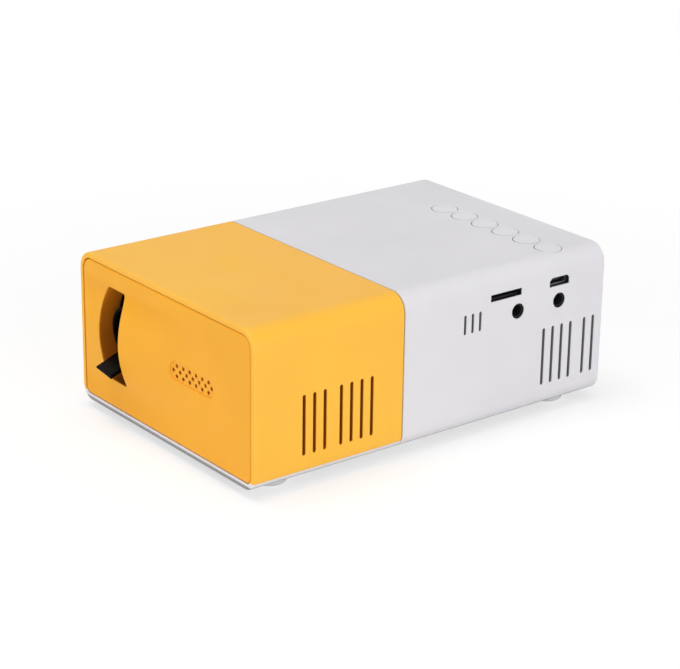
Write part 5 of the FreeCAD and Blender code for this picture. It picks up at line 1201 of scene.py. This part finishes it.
def circuit_board(name):
    """Solder mask with tracks under it and rows of plated pads."""
    colours = settings().colours
    recipe = Recipe(name)
    tracks = recipe.node("TexBrick", Vector=recipe.place, Scale=260.0, Mortar_Size=0.03,
                         Color1=(*shade(colours.board, 0.85), 1), Color2=(*colours.board, 1),
                         Mortar=(*shade(colours.board, 1.7), 1)).outputs["Color"]
    pads = recipe.sum(recipe.cells(0.0021), 0.16, "LESS_THAN")
    recipe.set(Base_Color=recipe.mix(pads, tracks, colours.copper), Metallic=pads,
               Roughness=recipe.ramp(recipe.noise(0.004), 0.25, 0.4))
    recipe.bump(pads, 0.00003)
    return recipe.material


class PROJECTOR_OT_speaker(Operator):
    """Speaker, its mesh and its lead"""
    bl_idname = "projector.speaker"
    bl_label = "Speaker"

    def execute(self, context):
        colours = settings().colours
        weave = Recipe("mesh_finish")
        threads = weave.cells(0.0003)
        weave.set(Base_Color=weave.mix(threads, (0.03, 0.015, 0.006), (0.012, 0.006, 0.003)),
                  Roughness=weave.ramp(threads, 0.7, 0.9))
        weave.bump(threads, 0.00005)
        dress(["grille_mesh"], weave.material)
        dress(["speaker_frame"], moulded("speaker_frame_finish", colours.black_plastic, 0.5))
        paper = Recipe("cone_finish")
        fibre = paper.noise(0.0006, detail=6.0, place=paper.stretched((1, 1, 3)))
        paper.set(Base_Color=paper.mix(fibre, (0.012, 0.012, 0.012), (0.05, 0.048, 0.045)),
                  Roughness=paper.ramp(fibre, 0.75, 0.95))
        paper.bump(fibre, 0.00005)
        dress(["speaker_cone"], paper.material)
        dress(["speaker_magnet"], metal("magnet_finish", (0.25, 0.26, 0.28), 0.42, (1, 1, 1)))
        dress(["speaker_lead"], moulded("lead_finish", colours.lead, 0.45, grain=0.0008))
        return {"FINISHED"}


class PROJECTOR_OT_fan(Operator):
    """Cooling fan's frame and rotor"""
    bl_idname = "projector.fan"
    bl_label = "Fan"

    def execute(self, context):
        colours = settings().colours
        dress(["fan_frame"], moulded("fan_frame_finish", shade(colours.black_plastic, 1.5), 0.55))
        dress(["fan_rotor"], moulded("fan_rotor_finish", shade(colours.black_plastic, 1.2), 0.4))
        return {"FINISHED"}


class PROJECTOR_OT_fasteners(Operator):
    """Screws and the brass tripod insert"""
    bl_idname = "projector.fasteners"
    bl_label = "Fasteners"

    def execute(self, context):
        colours = settings().colours
        screws = sorted(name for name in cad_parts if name.endswith("screws"))
        dress(screws, metal("screw_finish", colours.steel, 0.34, (1, 1, 6)))
        dress(["tripod_insert"], metal("brass_finish", colours.brass, 0.3, (1, 1, 8)))
        return {"FINISHED"}


# ---- Panel, registration and run ----

OPERATORS = (
    PROJECTOR_OT_stage,
    PROJECTOR_OT_front_panel,
    PROJECTOR_OT_focus_lever,
    PROJECTOR_OT_casing,
    PROJECTOR_OT_keys,
    PROJECTOR_OT_optics,
    PROJECTOR_OT_sockets,
    PROJECTOR_OT_light_engine,
    PROJECTOR_OT_electronics,
    PROJECTOR_OT_speaker,
    PROJECTOR_OT_fan,
    PROJECTOR_OT_fasteners,
)


class VIEW3D_PT_projector(Panel):
    """Lists the projector's steps and settings"""
    bl_idname = "VIEW3D_PT_projector"
    bl_label = "Home projector"
    bl_space_type = "VIEW_3D"
    bl_region_type = "UI"
    bl_category = "Projector"

    def draw(self, context):
        column = self.layout.column()
        for operator in OPERATORS:
            column.operator(operator.bl_idname)
        groups = context.scene.projector_settings
        for group in (groups.colours, groups.panel, groups.lever, groups.stage):
            box = column.box()
            for name in group.__annotations__:
                box.prop(group, name)


GROUPS = (ProjectorColours, FrontPanelShape, LeverShape, StageSettings, ProjectorSettings)
CLASSES = (*GROUPS, *OPERATORS, VIEW3D_PT_projector)


def register():
    for made in CLASSES:
        bpy.utils.register_class(made)
    bpy.types.Scene.projector_settings = PointerProperty(type=ProjectorSettings)


def unregister():
    del bpy.types.Scene.projector_settings
    for made in reversed(CLASSES):
        bpy.utils.unregister_class(made)


def main():
    register()
    for operator in OPERATORS:
        family, name = operator.bl_idname.split(".")
        getattr(getattr(bpy.ops, family), name)()


if __name__ == "__main__":
    main()
